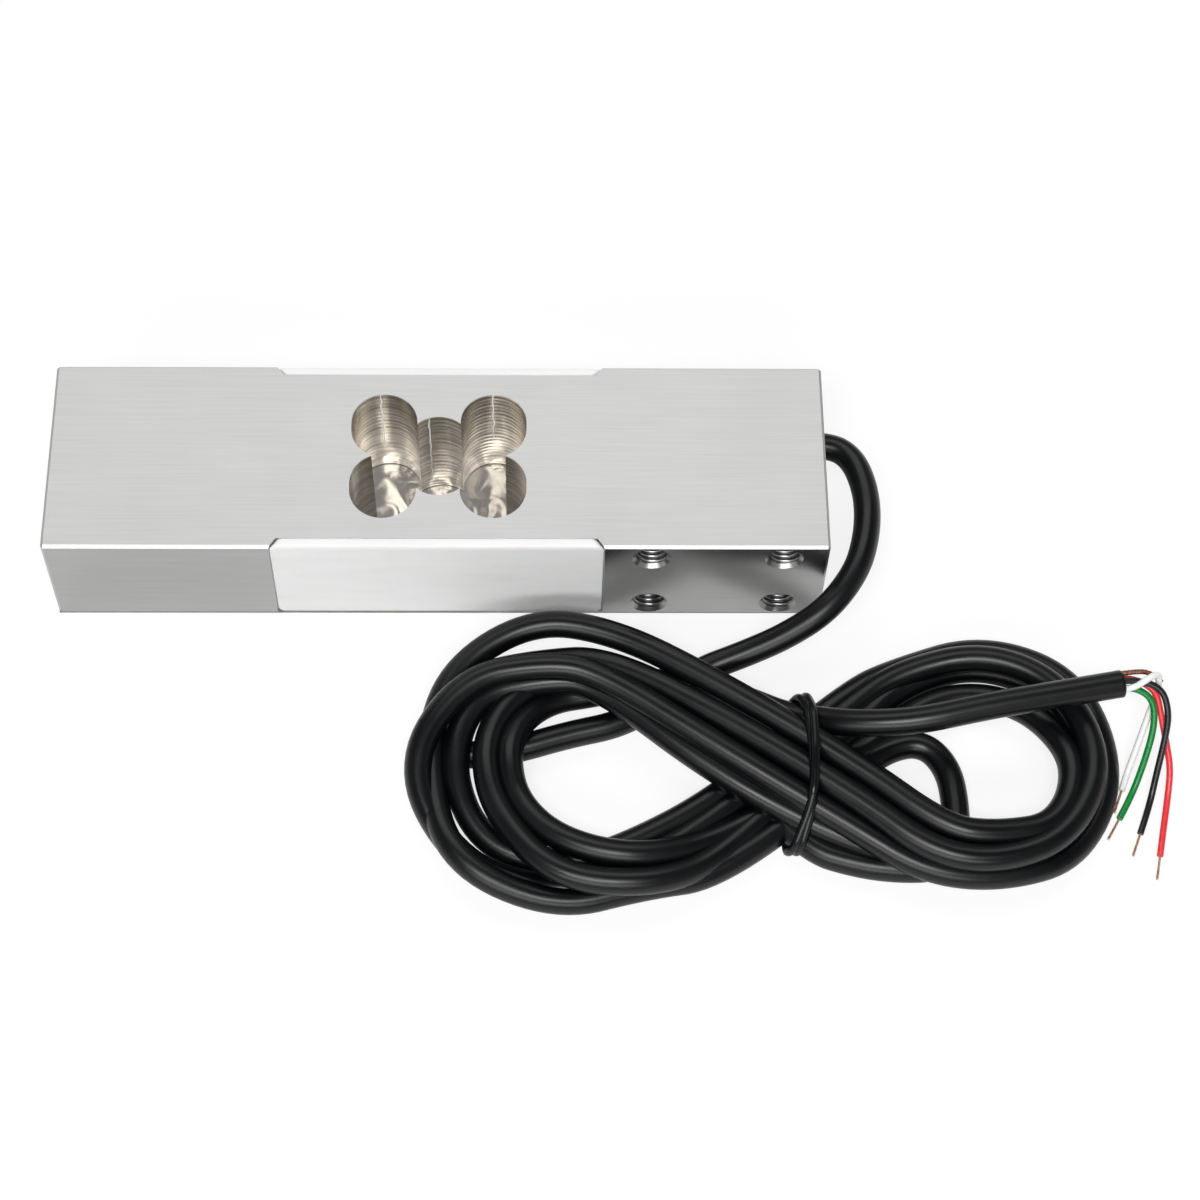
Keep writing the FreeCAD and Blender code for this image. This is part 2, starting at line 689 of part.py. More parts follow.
def make_cores():
    """The insulated cores, their bare ends and the drain wire, all leaving the cut end of the cable."""
    end = FreeCAD.Vector(*TAIL[-1])
    along = end - FreeCAD.Vector(*TAIL[-2])
    along.normalize()
    up = FreeCAD.Vector(0, 0, 1)
    back = up.cross(along)
    spread = size("core_spread")
    rims = {"red": back * spread, "black": up * spread, "green": back * -spread, "white": up * -spread}
    straight = along * size("core_straight")
    strands = []
    for colour, route in CORE_ROUTES.items():
        start = end + rims[colour]
        points = [tuple(start), tuple(start + straight)] + route
        keep_shape(f"core_{colour}", cable(f"core_{colour}", points, size("core_radius")))
        finish = FreeCAD.Vector(*points[-1])
        onward = finish - FreeCAD.Vector(*points[-2])
        strands.append(Part.makeCylinder(size("strand_radius"), size("strip_length"), finish, onward))
    keep_shape("core_strands", Part.makeCompound(strands))
    start = end + back * (1.6 * spread) + up * (0.9 * spread)
    points = [tuple(start), tuple(start + straight)] + DRAIN
    keep_shape("shield_drain", cable("shield_drain", points, size("drain_radius")))


def make_inside():
    """Everything in the recesses, with the potting moulded round it."""
    front = [make_gauge("gauge_front_left", FRONT_SIGN, -1), make_gauge("gauge_front_right", FRONT_SIGN, 1)]
    rear = [make_gauge("gauge_rear_left", REAR_SIGN, -1), make_gauge("gauge_rear_right", REAR_SIGN, 1)]
    front.append(make_board("bridge_board", FRONT_SIGN))
    front.append(make_resistors())
    front.append(make_jumpers("front_gauge_leads", FRONT_SIGN))
    rear.append(make_board("rear_terminal", REAR_SIGN))
    rear.append(make_jumpers("rear_gauge_leads", REAR_SIGN))
    bridge = make_bridge_wires()
    front += [bridge, make_inner_cores()]
    rear += [bridge]
    make_potting("front_potting", FRONT_SIGN, front)
    make_potting("rear_potting", REAR_SIGN, rear)


def check_document():
    """Stop if any object failed to compute or any finished shape is empty or invalid."""
    doc.recompute()
    for thing in doc.Objects:
        if "Invalid" in thing.State or "Error" in thing.State:
            raise RuntimeError(f"{thing.Name} failed: {thing.State}")
    for thing in finished:
        if thing.Shape.isNull() or not thing.Shape.isValid():
            raise RuntimeError(f"{thing.Label} has no valid shape")


def write_parts():
    """Write each sub-part under its own name."""
    os.makedirs("parts", exist_ok=True)
    for thing in finished:
        thing.Shape.exportStep(f"parts/{thing.Label}.step")
        print(f"{thing.Label}: {len(thing.Shape.Solids)} solids, {thing.Shape.Volume:.1f} mm3")


make_beam()
make_inside()
make_cable()
make_cores()
check_document()
write_parts()
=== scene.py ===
# %% [markdown]
# # Straight bar load cell
# A bar of aluminium with a clover-shaped cavity bends a little under load. Gauges under the white silicone feel the
# bend, and a black four-core cable, laid in a figure of eight, carries the signal away.
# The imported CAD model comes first, because every piece below is placed against it.

import bpy
import numpy as np
from mathutils import Matrix


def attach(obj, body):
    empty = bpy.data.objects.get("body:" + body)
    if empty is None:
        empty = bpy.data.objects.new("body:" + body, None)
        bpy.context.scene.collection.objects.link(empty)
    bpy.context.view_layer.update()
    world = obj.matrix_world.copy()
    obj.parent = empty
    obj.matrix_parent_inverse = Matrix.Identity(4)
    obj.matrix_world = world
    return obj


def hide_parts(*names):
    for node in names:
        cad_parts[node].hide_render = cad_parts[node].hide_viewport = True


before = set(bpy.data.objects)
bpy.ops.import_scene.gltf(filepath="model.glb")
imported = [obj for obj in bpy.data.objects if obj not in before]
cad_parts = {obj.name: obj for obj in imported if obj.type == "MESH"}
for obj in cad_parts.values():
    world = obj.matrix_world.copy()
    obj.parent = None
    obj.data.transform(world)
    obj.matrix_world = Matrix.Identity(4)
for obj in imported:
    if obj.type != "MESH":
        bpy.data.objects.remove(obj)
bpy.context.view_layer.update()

MM = 0.001


# %% [markdown]
# ## The camera
# The photograph looks down on the bar from in front. A camera can be aimed by eye, but six corners of a bar whose
# length is known give its place exactly, so the numbers below are that fit: the eye, three angles and the focal
# length in pixels of the square picture.

# %% Camera
FOCAL_PIXELS = 2824.5
PICTURE_PIXELS = 1200
EYE = (0.018565, -0.286800, 0.491411)
YAW, ELEVATION, ROLL = np.radians((-2.765, 61.254, 2.478))
NEAR_CLIP = 0.01


def unit(vectors):
    """Each vector divided by its own length."""
    return vectors / np.linalg.norm(vectors, axis=-1, keepdims=True)


def placed(place, *axes):
    """The matrix of an object at place whose own x, y and z point along the three axes."""
    return Matrix.Translation(place) @ Matrix(np.column_stack(axes).tolist()).to_4x4()


level = np.array([np.cos(YAW), np.sin(YAW), 0])
toward = np.array([np.sin(YAW) * np.cos(ELEVATION), -np.cos(YAW) * np.cos(ELEVATION), np.sin(ELEVATION)])
upright = np.cross(toward, level)
across = np.cos(ROLL) * level + np.sin(ROLL) * upright
upward = np.cos(ROLL) * upright - np.sin(ROLL) * level

camera = bpy.data.objects.new("camera", bpy.data.cameras.new("camera"))
camera.matrix_world = placed(EYE, across, upward, toward)
camera.data.lens = FOCAL_PIXELS / PICTURE_PIXELS * camera.data.sensor_width
camera.data.clip_start = NEAR_CLIP
bpy.context.collection.objects.link(camera)
bpy.context.scene.camera = camera
print("lens", round(camera.data.lens, 2), "mm")

# %% [markdown]
# ## The cable
# One length of black cable leaves the end of the bar, falls to the table, lies in six loose turns of a figure of
# eight and ends in a cut above them. It could be a row of separate rings, but a real cable is one piece, so it is one
# NURBS curve with a round bevel. Each turn is a row of radii and heights at seven bearings round the left
# lobe, a crossing at the waist, and the same round the right lobe. A radius is divided by the cosine of half a step,
# because such a curve runs inside its control points.

# %% Ends of the cable's route, in millimetres
CABLE_RADIUS = 2.65
FLOOR_LANE = CABLE_RADIUS
LEAD = (
    (71.8, 10.6, 13.0), (77.5, 10.6, 13.0), (81.6, 7.6, 13.1), (83.6, 1.9, 13.3), (84.2, -4.7, 13.6),
    (83.3, -12.0, 13.8), (81.0, -19.0, 13.7), (75.2, -26.4, 12.2), (67.4, -30.2, 8.6), (59.0, -32.7, 5.5),
    (50.3, -35.2, 3.5), (42.8, -41.2, FLOOR_LANE), (35.3, -46.3, FLOOR_LANE), (25.0, -48.6, FLOOR_LANE),
    (15.0, -51.8, FLOOR_LANE), (5.4, -53.5, FLOOR_LANE), (-1.0, -48.8, FLOOR_LANE), (0.5, -40.9, FLOOR_LANE),
    (8.8, -35.7, 3.4),
)
TAIL = (
    (41.6, -38.4, 5.6), (50.4, -39.8, 6.6), (59.3, -42.9, 6.5), (66.5, -46.5, 7.0), (73.0, -48.6, 9.0),
    (80.0, -50.8, 12.0), (91.0, -51.4, 14.3), (104.4, -48.4, 14.8), (117.6, -46.0, 14.7), (130.1, -43.7, 14.7),
)
SMALL_LOOP = (
    (52.9, -52.0, 3.2), (69.6, -72.6, 3.0), (79.3, -75.7, 2.8), (87.1, -76.7, FLOOR_LANE),
    (94.3, -76.5, FLOOR_LANE), (98.2, -71.7, FLOOR_LANE), (98.8, -64.2, FLOOR_LANE), (97.9, -55.7, FLOOR_LANE),
    (93.4, -50.3, FLOOR_LANE), (86.4, -51.6, 2.8), (79.5, -57.1, 3.0), (53.2, -78.1, 2.8),
)
print("points at the ends", len(LEAD), len(TAIL), "in the small loop", len(SMALL_LOOP))

# %% Turns of the cable's route, in millimetres
WAIST_LEFT, WAIST_RIGHT = 53.5, 79.5
LEFT_LOBE = (25.0, -55.0)
RIGHT_LOBE = (104.0, -57.0)
LEFT_BEARINGS = (-60, -95, -135, -175, -215, -255, -290)
RIGHT_BEARINGS = (-120, -85, -45, 0, 45, 85, 125)
HALF_STEP = 20


def lobe_points(centre, bearings, radii, heights):
    """Points round a lobe's centre: radius over cos(half a step) at each bearing, the last bearings if fewer."""
    angles = np.radians(bearings[-len(radii):])
    swollen = np.array(radii) / np.cos(np.radians(HALF_STEP))
    return np.column_stack([centre[0] + swollen * np.cos(angles), centre[1] + swollen * np.sin(angles), heights])


def turn(left, down, right, up):
    """One turn of the eight: left lobe, down across the waist, right lobe, up across the waist."""
    return np.vstack([
        lobe_points(LEFT_LOBE, LEFT_BEARINGS, *left), (WAIST_LEFT, *down[0]), (WAIST_RIGHT, *down[1]),
        lobe_points(RIGHT_LOBE, RIGHT_BEARINGS, *right), (WAIST_RIGHT, *up[0]), (WAIST_LEFT, *up[1]),
    ])


first_turn = turn(((19.8, 19.9), (5.8, 8.6)),
                  ((-47.7, 10.0), (-65.4, 10.1)),
                  ((21.0, 19.4, 20.0, 21.2, 22.0, 22.7, 24.0), (9.6, 8.6, 8.0, 7.8, 7.5, 7.0, 4.5)),
                  ((-43.0, 3.2), (-66.0, 2.8)))
second_turn = turn(((23.2, 25.4, 27.5, 29.3, 23.4, 16.8, 15.8), (2.7, 2.7, 2.65, 7.6, 11.2, 11.2, 11.0)),
                   ((-54.8, 10.2), (-70.9, 7.4)),
                   ((23.2, 21.0, 23.1, 24.2, 26.9, 26.2, 25.2), (5.8, 4.2, 2.8, 2.8, 2.8, 2.8, 2.7)),
                   ((-39.7, 2.8), (-62.3, 2.8)))
third_turn = turn(((19.0, 19.8, 22.0, 21.4, 20.8, 15.4, 15.0), (2.7, 2.7, 2.7, 6.0, 7.2, 7.2, 8.0)),
                  ((-59.4, 7.4), (-72.8, 3.9)),
                  ((19.4, 17.1, 18.3, 20.2, 22.3, 22.6, 22.5), (5.5, 5.0, 3.5, 2.7, 2.7, 2.7, 2.7)),
                  ((-48.0, 2.65), (-75.0, 3.2)))
fourth_left = lobe_points(LEFT_LOBE, LEFT_BEARINGS, (29.0, 24.0, 17.4, 15.4, 15.4, 17.0, 17.5),
                          (7.5, 7.9, 7.2, 7.9, 6.8, 6.0, 7.2))
fifth_turn = turn(((27.1, 27.9, 29.4, 25.3, 27.8, 27.5, 25.2), (2.7, 2.7, 7.2, 4.6, 6.4, 9.0, 9.8)),
                  ((-41.2, 10.5), (-58.4, 10.0)),
                  ((15.9, 14.6, 17.4, 17.1, 15.5, 16.0, 17.2), (10.0, 9.2, 8.0, 6.8, 5.0, 3.2, 3.0)),
                  ((-54.4, 3.0), (-71.0, 2.65)))
last_left = lobe_points(LEFT_LOBE, LEFT_BEARINGS, (23.6, 17.0, 12.9, 11.0, 11.2, 13.0, 15.1),
                        (8.0, 7.5, 6.4, 7.9, 6.5, 3.5, 3.0))
cable_route = np.vstack([
    LEAD, first_turn, second_turn, third_turn, fourth_left, SMALL_LOOP, fifth_turn, last_left, TAIL,
])
print("cable control points", len(cable_route))

# %% [markdown]
# ### From points to a cord
# A mesh tube would have to be swept by hand, but a curve object with a bevel stays a cord that can be re-laid. Pieces
# that follow a cord need points on it, and a copy of the curve without its bevel gives them.

# %% Cable as one NURBS curve
CURVE_STEPS, LINE_STEPS = 10, 12
CABLE_BEVEL, CORE_BEVEL = 8, 4


def cord_curve(name, route, radius, bevel, steps):
    """One open NURBS curve with the route's points, in millimetres, as control points and a round section."""
    curve = bpy.data.curves.new(name, "CURVE")
    curve.dimensions = "3D"
    spline = curve.splines.new("NURBS")
    spline.points.add(len(route) - 1)
    spline.points.foreach_set("co", np.column_stack([np.asarray(route) * MM, np.ones(len(route))]).ravel())
    spline.order_u = 3
    spline.use_endpoint_u = True
    spline.resolution_u = steps
    curve.bevel_depth = radius * MM
    curve.bevel_resolution = bevel
    curve.use_fill_caps = radius > 0
    piece = bpy.data.objects.new(name, curve)
    bpy.context.collection.objects.link(piece)
    return piece


def middle_line(route):
    """The points of the route's own NURBS curve, read from a copy with no bevel, in millimetres."""
    bare = cord_curve("bare_line", route, 0, 0, LINE_STEPS)
    mesh = bpy.data.meshes.new_from_object(bare)
    line = np.empty(len(mesh.vertices) * 3, np.float32)
    mesh.vertices.foreach_get("co", line)
    curve = bare.data
    bpy.data.objects.remove(bare)
    bpy.data.curves.remove(curve)
    bpy.data.meshes.remove(mesh)
    return line.reshape(-1, 3).astype(float) / MM


def distance_along(line):
    """At each point, the sum of the distances between neighbouring points up to it."""
    return np.concatenate([[0], np.cumsum(np.linalg.norm(np.diff(line, axis=0), axis=1))])


cable = cord_curve("signal_cable", cable_route, CABLE_RADIUS, CABLE_BEVEL, CURVE_STEPS)
cable_line = middle_line(cable_route)

# %% [markdown]
# ## The four cores
# At the cut end the black sheath stops and four thin insulated cores, red, black, green and white, fan out and
# droop to the table. Each is the same kind of curve as the cable. They leave the cable side by side inside the
# sheath, so each starts a little off the cable's middle line.

# %% Cores
CORE_RADIUS = 0.65
CORE_OFFSET = 1.05
STRAIGHT = 2.2
cut_middle = cable_line[-1]
cut_ahead = unit(cable_line[-1] - cable_line[-2])
cut_back = unit(np.cross((0, 0, 1), cut_ahead))
cut_up = np.cross(cut_ahead, cut_back)
CORE_ROUTES = {
    "red": (cut_back, (
        (137.0, -44.3, 13.6), (138.2, -48.2, 10.3), (139.4, -52.6, 7.0), (140.2, -56.9, 4.6), (139.6, -61.8, 2.0),
        (138.5, -67.3, 0.8), (137.2, -73.2, 0.75))),
    "black": (cut_up, (
        (137.8, -44.5, 15.0), (139.4, -48.4, 12.0), (138.8, -52.4, 8.9), (137.5, -57.6, 4.2), (136.1, -63.2, 0.8),
        (133.9, -68.6, 0.75))),
    "green": (-cut_back, (
        (136.3, -46.1, 13.4), (136.9, -50.0, 9.8), (135.4, -55.1, 5.0), (132.9, -61.0, 0.8), (130.2, -65.5, 0.75))),
    "white": (0.3 * cut_up - 1.35 * cut_back, (
        (134.6, -43.9, 16.8), (136.3, -42.7, 16.5), (137.4, -42.2, 15.4), (137.6, -43.4, 13.6), (136.9, -45.6, 11.2),
        (135.6, -48.6, 8.2), (134.2, -52.2, 4.8), (132.9, -55.2, 1.7), (132.0, -57.6, 0.8), (131.2, -59.6, 0.75))),
}
cores, core_lines = {}, {}
for core_colour, (side, bends) in CORE_ROUTES.items():
    start = cut_middle + CORE_OFFSET * side
    core_route = np.vstack([start, start + STRAIGHT * cut_ahead, bends])
    cores[core_colour] = cord_curve(core_colour + "_core", core_route, CORE_RADIUS, CORE_BEVEL, CURVE_STEPS)
    core_lines[core_colour] = middle_line(core_route)
    print(core_colour, "core", round(distance_along(core_lines[core_colour])[-1], 1), "mm")


# %% [markdown]
# ## Meshes from numpy grids
# The remaining new pieces are surfaces on a grid of two parameters. A profile is carried along a path: at each point
# of the path a frame of two directions across it places the profile's ring. One function makes the faces of such a
# grid, and others leave its two ends open, join them to each other or close each with a flat face.

# %% Grid surfaces
def ring_faces(rows, columns, closed):
    """Quads between neighbouring rings of columns points; closed joins the last ring to the first."""
    row = np.arange(rows if closed else rows - 1)[:, None]
    column = np.arange(columns)[None, :]
    after, beside = (row + 1) % rows, (column + 1) % columns
    corners = [row * columns + column, row * columns + beside, after * columns + beside, after * columns + column]
    return np.stack(np.broadcast_arrays(*corners), -1).reshape(-1, 4)


def stacked(rings, closed=False):
    """Vertices and faces of a stack of rings, with its ends open or, if closed, joined to each other."""
    return rings.reshape(-1, 3), ring_faces(*rings.shape[:2], closed).tolist()


def capped(rings):
    """Vertices and faces of a stack of rings with both ends closed by a flat face."""
    vertices, faces = stacked(rings)
    first = np.arange(rings.shape[1])
    last = first + len(vertices) - len(first)
    return vertices, faces + [first[::-1].tolist(), last.tolist()]


def joined(parts):
    """Many vertices and faces as one mesh: each part's faces count on from the vertices before it."""
    starts = np.cumsum([0] + [len(vertices) for vertices, _ in parts])
    faces = [[corner + start for corner in face] for start, (_, part) in zip(starts, parts) for face in part]
    return np.vstack([vertices for vertices, _ in parts]), faces


def mesh_piece(name, vertices, faces):
    """A smooth mesh object at the origin from points in millimetres and a list of faces."""
    mesh = bpy.data.meshes.new(name)
    mesh.from_pydata((np.asarray(vertices) * MM).tolist(), [], [list(map(int, face)) for face in faces])
    mesh.shade_smooth()
    mesh.update()
    piece = bpy.data.objects.new(name, mesh)
    bpy.context.collection.objects.link(piece)
    return piece


def swept_rings(path, first_across, radius, sides):
    """Rings round each path point: centre + radius (cos a across + sin a (ahead x across)); one radius or a grid."""
    path = np.asarray(path, float)
    ahead = unit(np.gradient(path, axis=0))
    across = unit(first_across - ahead * np.sum(ahead * first_across, axis=1, keepdims=True))
    third = np.cross(ahead, across)
    angle = np.arange(sides) / sides * 2 * np.pi
    ring = np.cos(angle)[None, :, None] * across[:, None] + np.sin(angle)[None, :, None] * third[:, None]
    return path[:, None] + np.broadcast_to(radius, ring.shape[:2])[..., None] * ring


# %% [markdown]
# ## Bare copper ends
# The last five millimetres of each core are stripped to the conductor: seven fine copper strands, six of them
# twisted round the seventh. Each strand is a thin tube on a helix about the core's own end direction. The outer ones
# spread a little towards their tips, and every second one is a little shorter, as a stripping tool leaves them.

# %% Copper strands
STRIP_LENGTH = 5.0
STRIP_BURIED = 0.8
STRAND_RADIUS = 0.08
STRAND_SIDES = 8
OUTER_STRANDS = 6
LAY_RADIUS = 0.16
LAY_TURNS = 1.4
TIP_SPREAD = 0.25
SHORT_REACH = 0.97
along = np.linspace(0, 1, 28)
copper = []
for line in core_lines.values():
    tip, ahead = line[-1], unit(line[-1] - line[-2])
    sideways = unit(np.cross(ahead, (0, 0, 1)))
    over = np.cross(sideways, ahead)
    spine = np.outer(along * (STRIP_LENGTH + STRIP_BURIED) - STRIP_BURIED, ahead)
    for strand in range(OUTER_STRANDS + 1):
        angle = 2 * np.pi * (strand / OUTER_STRANDS + LAY_TURNS * along)[:, None]
        spread = 0 if strand == OUTER_STRANDS else LAY_RADIUS * (1 + TIP_SPREAD * along ** 3)[:, None]
        reach = 1 if strand % 2 else SHORT_REACH
        path = tip + spine * reach + spread * (np.cos(angle) * sideways + np.sin(angle) * over)
        copper.append(capped(swept_rings(path, over, STRAND_RADIUS, STRAND_SIDES)))
copper_ends = mesh_piece("copper_ends", *joined(copper))
print("copper strands", len(copper), "vertices", len(copper_ends.data.vertices))

# %% [markdown]
# ## The drain wire
# Beside the cores a short brown wire, the end of the cable's screen, stands out of the sheath and bends over. It is
# a twist of the screen's fine wires, so it is a tube whose radius waves along its length like the lay of the twist.

# %% Drain wire
DRAIN_RADIUS = 0.52
DRAIN_SIDES = 12
DRAIN_LAY = 1.1
DRAIN_BUNDLES = 3
DRAIN_GROOVE = 0.07
DRAIN_BACK, DRAIN_UP = 1.68, 0.945
DRAIN_BENDS = ((136.0, -41.3, 15.2), (138.2, -42.7, 13.6))
drain_start = cut_middle + DRAIN_BACK * cut_back + DRAIN_UP * cut_up
drain_line = middle_line(np.vstack([drain_start, drain_start + STRAIGHT * cut_ahead, DRAIN_BENDS]))
drain_along = distance_along(drain_line)
lay_angle = 2 * np.pi * (np.arange(DRAIN_SIDES)[None, :] / DRAIN_SIDES - drain_along[:, None] / DRAIN_LAY)
drain_radii = DRAIN_RADIUS * (1 - DRAIN_GROOVE + DRAIN_GROOVE * np.cos(DRAIN_BUNDLES * lay_angle))
drain_wire = mesh_piece("drain_wire", *capped(swept_rings(drain_line, cut_up, drain_radii, DRAIN_SIDES)))
print("drain wire", round(drain_along[-1], 1), "mm")

# %% [markdown]
# ## The cut of the sheath
# A cut cable shows its wall: a black ring round a paler filler that packs the cores. A flat cap would hide that, so
# a turned profile closes the end: over the rim, down inside the wall, and across the filler.

# %% Cut end
RIM_PROFILE = ((2.64, -0.9), (2.66, -0.3), (2.64, 0.12), (2.5, 0.26), (1.98, 0.26), (1.9, 0.16), (1.86, -0.2))
FILLER_PROFILE = ((1.9, -0.2), (1.6, 0.04), (0.9, 0.12), (0.05, 0.14))
CUT_SIDES = 32


def turned(profile):
    """A profile of radius and reach along the cable, turned about the cable's middle line at the cut."""
    radius, reach = np.array(profile).T
    angle = np.arange(CUT_SIDES) / CUT_SIDES * 2 * np.pi
    spoke = np.cos(angle)[:, None] * cut_back + np.sin(angle)[:, None] * cut_up
    return cut_middle + radius[:, None, None] * spoke + reach[:, None, None] * cut_ahead


sheath_rim = mesh_piece("sheath_rim", *stacked(turned(RIM_PROFILE)))
core_filler = mesh_piece("core_filler", *capped(turned(FILLER_PROFILE)))
print("cut end faces", len(sheath_rim.data.polygons) + len(core_filler.data.polygons))

# %% [markdown]
# ## The rubber band
# A thin black rubber band goes twice round the waist of the eight and its two turns cross on top. An oval would stand
# clear of the cable, but a stretched band lies on the outermost strands and runs straight between them. So its path
# is the outermost strand in each direction, moved out by both radii, and it drifts sideways and bows a little.

# %% Line round the strands
BAND_RADIUS = 0.85
BAND_PLACE = 68.5
BUNDLE_BACK = -40
BAND_STEPS = 120
FLOOR_GAP = 0.03
at_band = np.diff(np.sign(cable_line[:, 0] - BAND_PLACE)) != 0
strands = cable_line[:-1][at_band & (cable_line[:-1, 1] < BUNDLE_BACK), 1:]
compass = np.linspace(0, 2 * np.pi, 721)
outward = np.column_stack([np.cos(compass), np.sin(compass)])
hull = strands[np.argmax(outward @ strands.T, axis=1)] + (CABLE_RADIUS + BAND_RADIUS) * outward
hull_along = distance_along(hull)
even = np.arange(BAND_STEPS) / BAND_STEPS * hull_along[-1]
depth = np.interp(even, hull_along, hull[:, 0])
height = np.maximum(np.interp(even, hull_along, hull[:, 1]), BAND_RADIUS + FLOOR_GAP)
print("strands in the band", len(strands), "once round", round(hull_along[-1], 1), "mm")

# %% Rubber band
BAND_DRIFT, DRIFT_START = 1.0, 0.6
BAND_BOW = 2.6
BAND_LIFT = 1.1
BAND_SIDES = 14
off_depth, off_height = ((np.column_stack([depth, height]) - hull.mean(axis=0)) / np.ptp(hull, axis=0)).T
bearing = np.unwrap(np.arctan2(off_height, off_depth))
band_turn = np.concatenate([bearing, bearing + 2 * np.pi])
lift = BAND_LIFT * np.maximum(np.cos(band_turn / 2), 0) * np.maximum(np.sin(band_turn), 0)
band_path = np.column_stack([
    BAND_PLACE + BAND_DRIFT * np.cos(band_turn / 2 + DRIFT_START) + BAND_BOW * np.sin(band_turn),
    np.tile(depth, 2),
    np.tile(height, 2) + lift,
])
overlapped = np.vstack([band_path[-1:], band_path, band_path[:1]])
band_rings = swept_rings(overlapped, np.array((1.0, 0, 0)), BAND_RADIUS, BAND_SIDES)[1:-1]
rubber_band = mesh_piece("rubber_band", *stacked(band_rings, closed=True))
print("band from", round(band_rings[..., 2].min(), 2), "to", round(band_rings[..., 2].max(), 2), "mm high")

# %% [markdown]
# ## Threads in the bolt holes
# Each of the eight mounting holes is tapped, and the thread's crests catch the light as bright rings. A groove could
# be painted with bump, but the rings are seen edge on, so each thread is a real ridge: a four-cornered profile
# carried along a helix against the hole's wall, which sinks into the wall at both ends.

# %% Threads
ROOT_RADIUS, CREST_RADIUS = 3.03, 2.64
PITCH = 1.0
THREAD_TURNS, STEPS_A_TURN = 11, 40
THREAD_START = 1.05
FADE_ANGLE = 1.5
FRONT, REAR = -20.5, 20.5
HOLE_PLACES = [(x, z) for x in (-66.4, -41.0, 41.0, 66.4) for z in (4.3, 21.7)]
RIDGE = ((ROOT_RADIUS, -0.46), (CREST_RADIUS, -0.07), (CREST_RADIUS, 0.07), (ROOT_RADIUS, 0.46))


def thread(x, z, face):
    """Helix of the ridge: (radius cos t, depth + pitch t / 2 pi + shift, radius sin t), run into the face."""
    inward = -np.sign(face)
    angle = np.linspace(0, 2 * np.pi * THREAD_TURNS, STEPS_A_TURN * THREAD_TURNS)[:, None]
    radius, shift = np.array(RIDGE).T
    fade = np.clip(np.minimum(angle, angle[-1] - angle) / FADE_ANGLE, 0, 1)
    radius = ROOT_RADIUS - (ROOT_RADIUS - radius) * fade
    depth = face + inward * (THREAD_START + PITCH * angle / (2 * np.pi) + shift)
    return np.stack(np.broadcast_arrays(x + radius * np.cos(angle), depth, z - inward * radius * np.sin(angle)), -1)


ridges = [stacked(thread(x, z, FRONT if x > 0 else REAR)) for x, z in HOLE_PLACES]
hole_threads = mesh_piece("hole_threads", *joined(ridges))
print("thread faces", len(hole_threads.data.polygons))

# %% [markdown]
# ## The silicone fills
# White silicone fills both gauge recesses. The CAD block stops short of the flanks, but silicone wets the metal and
# draws up to it, so its edges are soft and its corners blunt. A bevelled box would keep its straight lines, so the
# fill is a stack of rounded rectangles: up the flank, over the round edge, and in across the wiped face.

# %% Silicone fills
RECESS_FLOOR, FILL_FACE = 18.47, 20.4
FOOT_RISE = 0.05
FLANK_HALF, FLANK_GROWTH = 30.62, 0.7
FILL_MIDDLE, FILL_HALF_HEIGHT = 13.0, 12.9
EDGE_RISE, END_INSET, TOP_INSET, FACE_INSET = 0.4, 0.5, 1.3, 1.1
EDGE_STEPS = 10
CORNER_RADIUS, CORNER_STEPS = 1.4, 12


def silicone_fill(name, side):
    """Rings x = sx (a - r) + r cos t, z = sz (h - r) + r sin t, with a and h the half sizes at each ring's depth."""
    over = np.radians(np.linspace(0, 90, EDGE_STEPS))
    edge = FILL_FACE - EDGE_RISE * (1 - np.sin(over))
    depth = np.concatenate([[RECESS_FLOOR, RECESS_FLOOR + FOOT_RISE], edge, [FILL_FACE]])[:, None]
    inset = np.concatenate([[0, 0], 1 - np.cos(over), [FACE_INSET]])[:, None]
    half_length = FLANK_HALF + FLANK_GROWTH * (depth - RECESS_FLOOR) - END_INSET * inset
    half_height = FILL_HALF_HEIGHT - TOP_INSET * inset
    quarter = np.linspace(0, 90, CORNER_STEPS)
    angle = np.radians(np.concatenate([quarter + first for first in (0, 90, 180, 270)]))
    sign_x, sign_z = np.repeat([(1, -1, -1, 1), (1, 1, -1, -1)], CORNER_STEPS, axis=1)
    x = sign_x * (half_length - CORNER_RADIUS) + CORNER_RADIUS * np.cos(angle)
    z = FILL_MIDDLE - side * (sign_z * (half_height - CORNER_RADIUS) + CORNER_RADIUS * np.sin(angle))
    return mesh_piece(name, *capped(np.stack(np.broadcast_arrays(x, side * depth, z), -1)))


front_silicone = silicone_fill("front_silicone", -1)
rear_silicone = silicone_fill("rear_silicone", 1)
print("silicone faces", len(front_silicone.data.polygons))


# %% [markdown]
# ## Finishes
# Every material is a small node tree. One function turns a hex colour to linear light, one starts a material, and
# one adds a node with its settings and links. Patterns read Object coordinates, which here are metres in the part's
# own frame, so a scale is one over a real size. A Mix node's sockets go by number: 0 is the share, and the two that
# it mixes are 2 and 3 for numbers, 4 and 5 for directions, 6 and 7 for colours.

# %% Material helpers
def linear(hex_colour):
    """sRGB hex to linear red, green, blue, alpha."""
    shade = np.array([int(hex_colour[i:i + 2], 16) for i in (1, 3, 5)]) / 255
    return (*np.where(shade <= 0.04045, shade / 12.92, ((shade + 0.055) / 1.055) ** 2.4), 1.0)


def start_material(name):
    """A new node material; gives the material, its tree and its surface shader."""
    material = bpy.data.materials.new(name)
    material.use_nodes = True
    return material, material.node_tree, material.node_tree.nodes["Principled BSDF"]


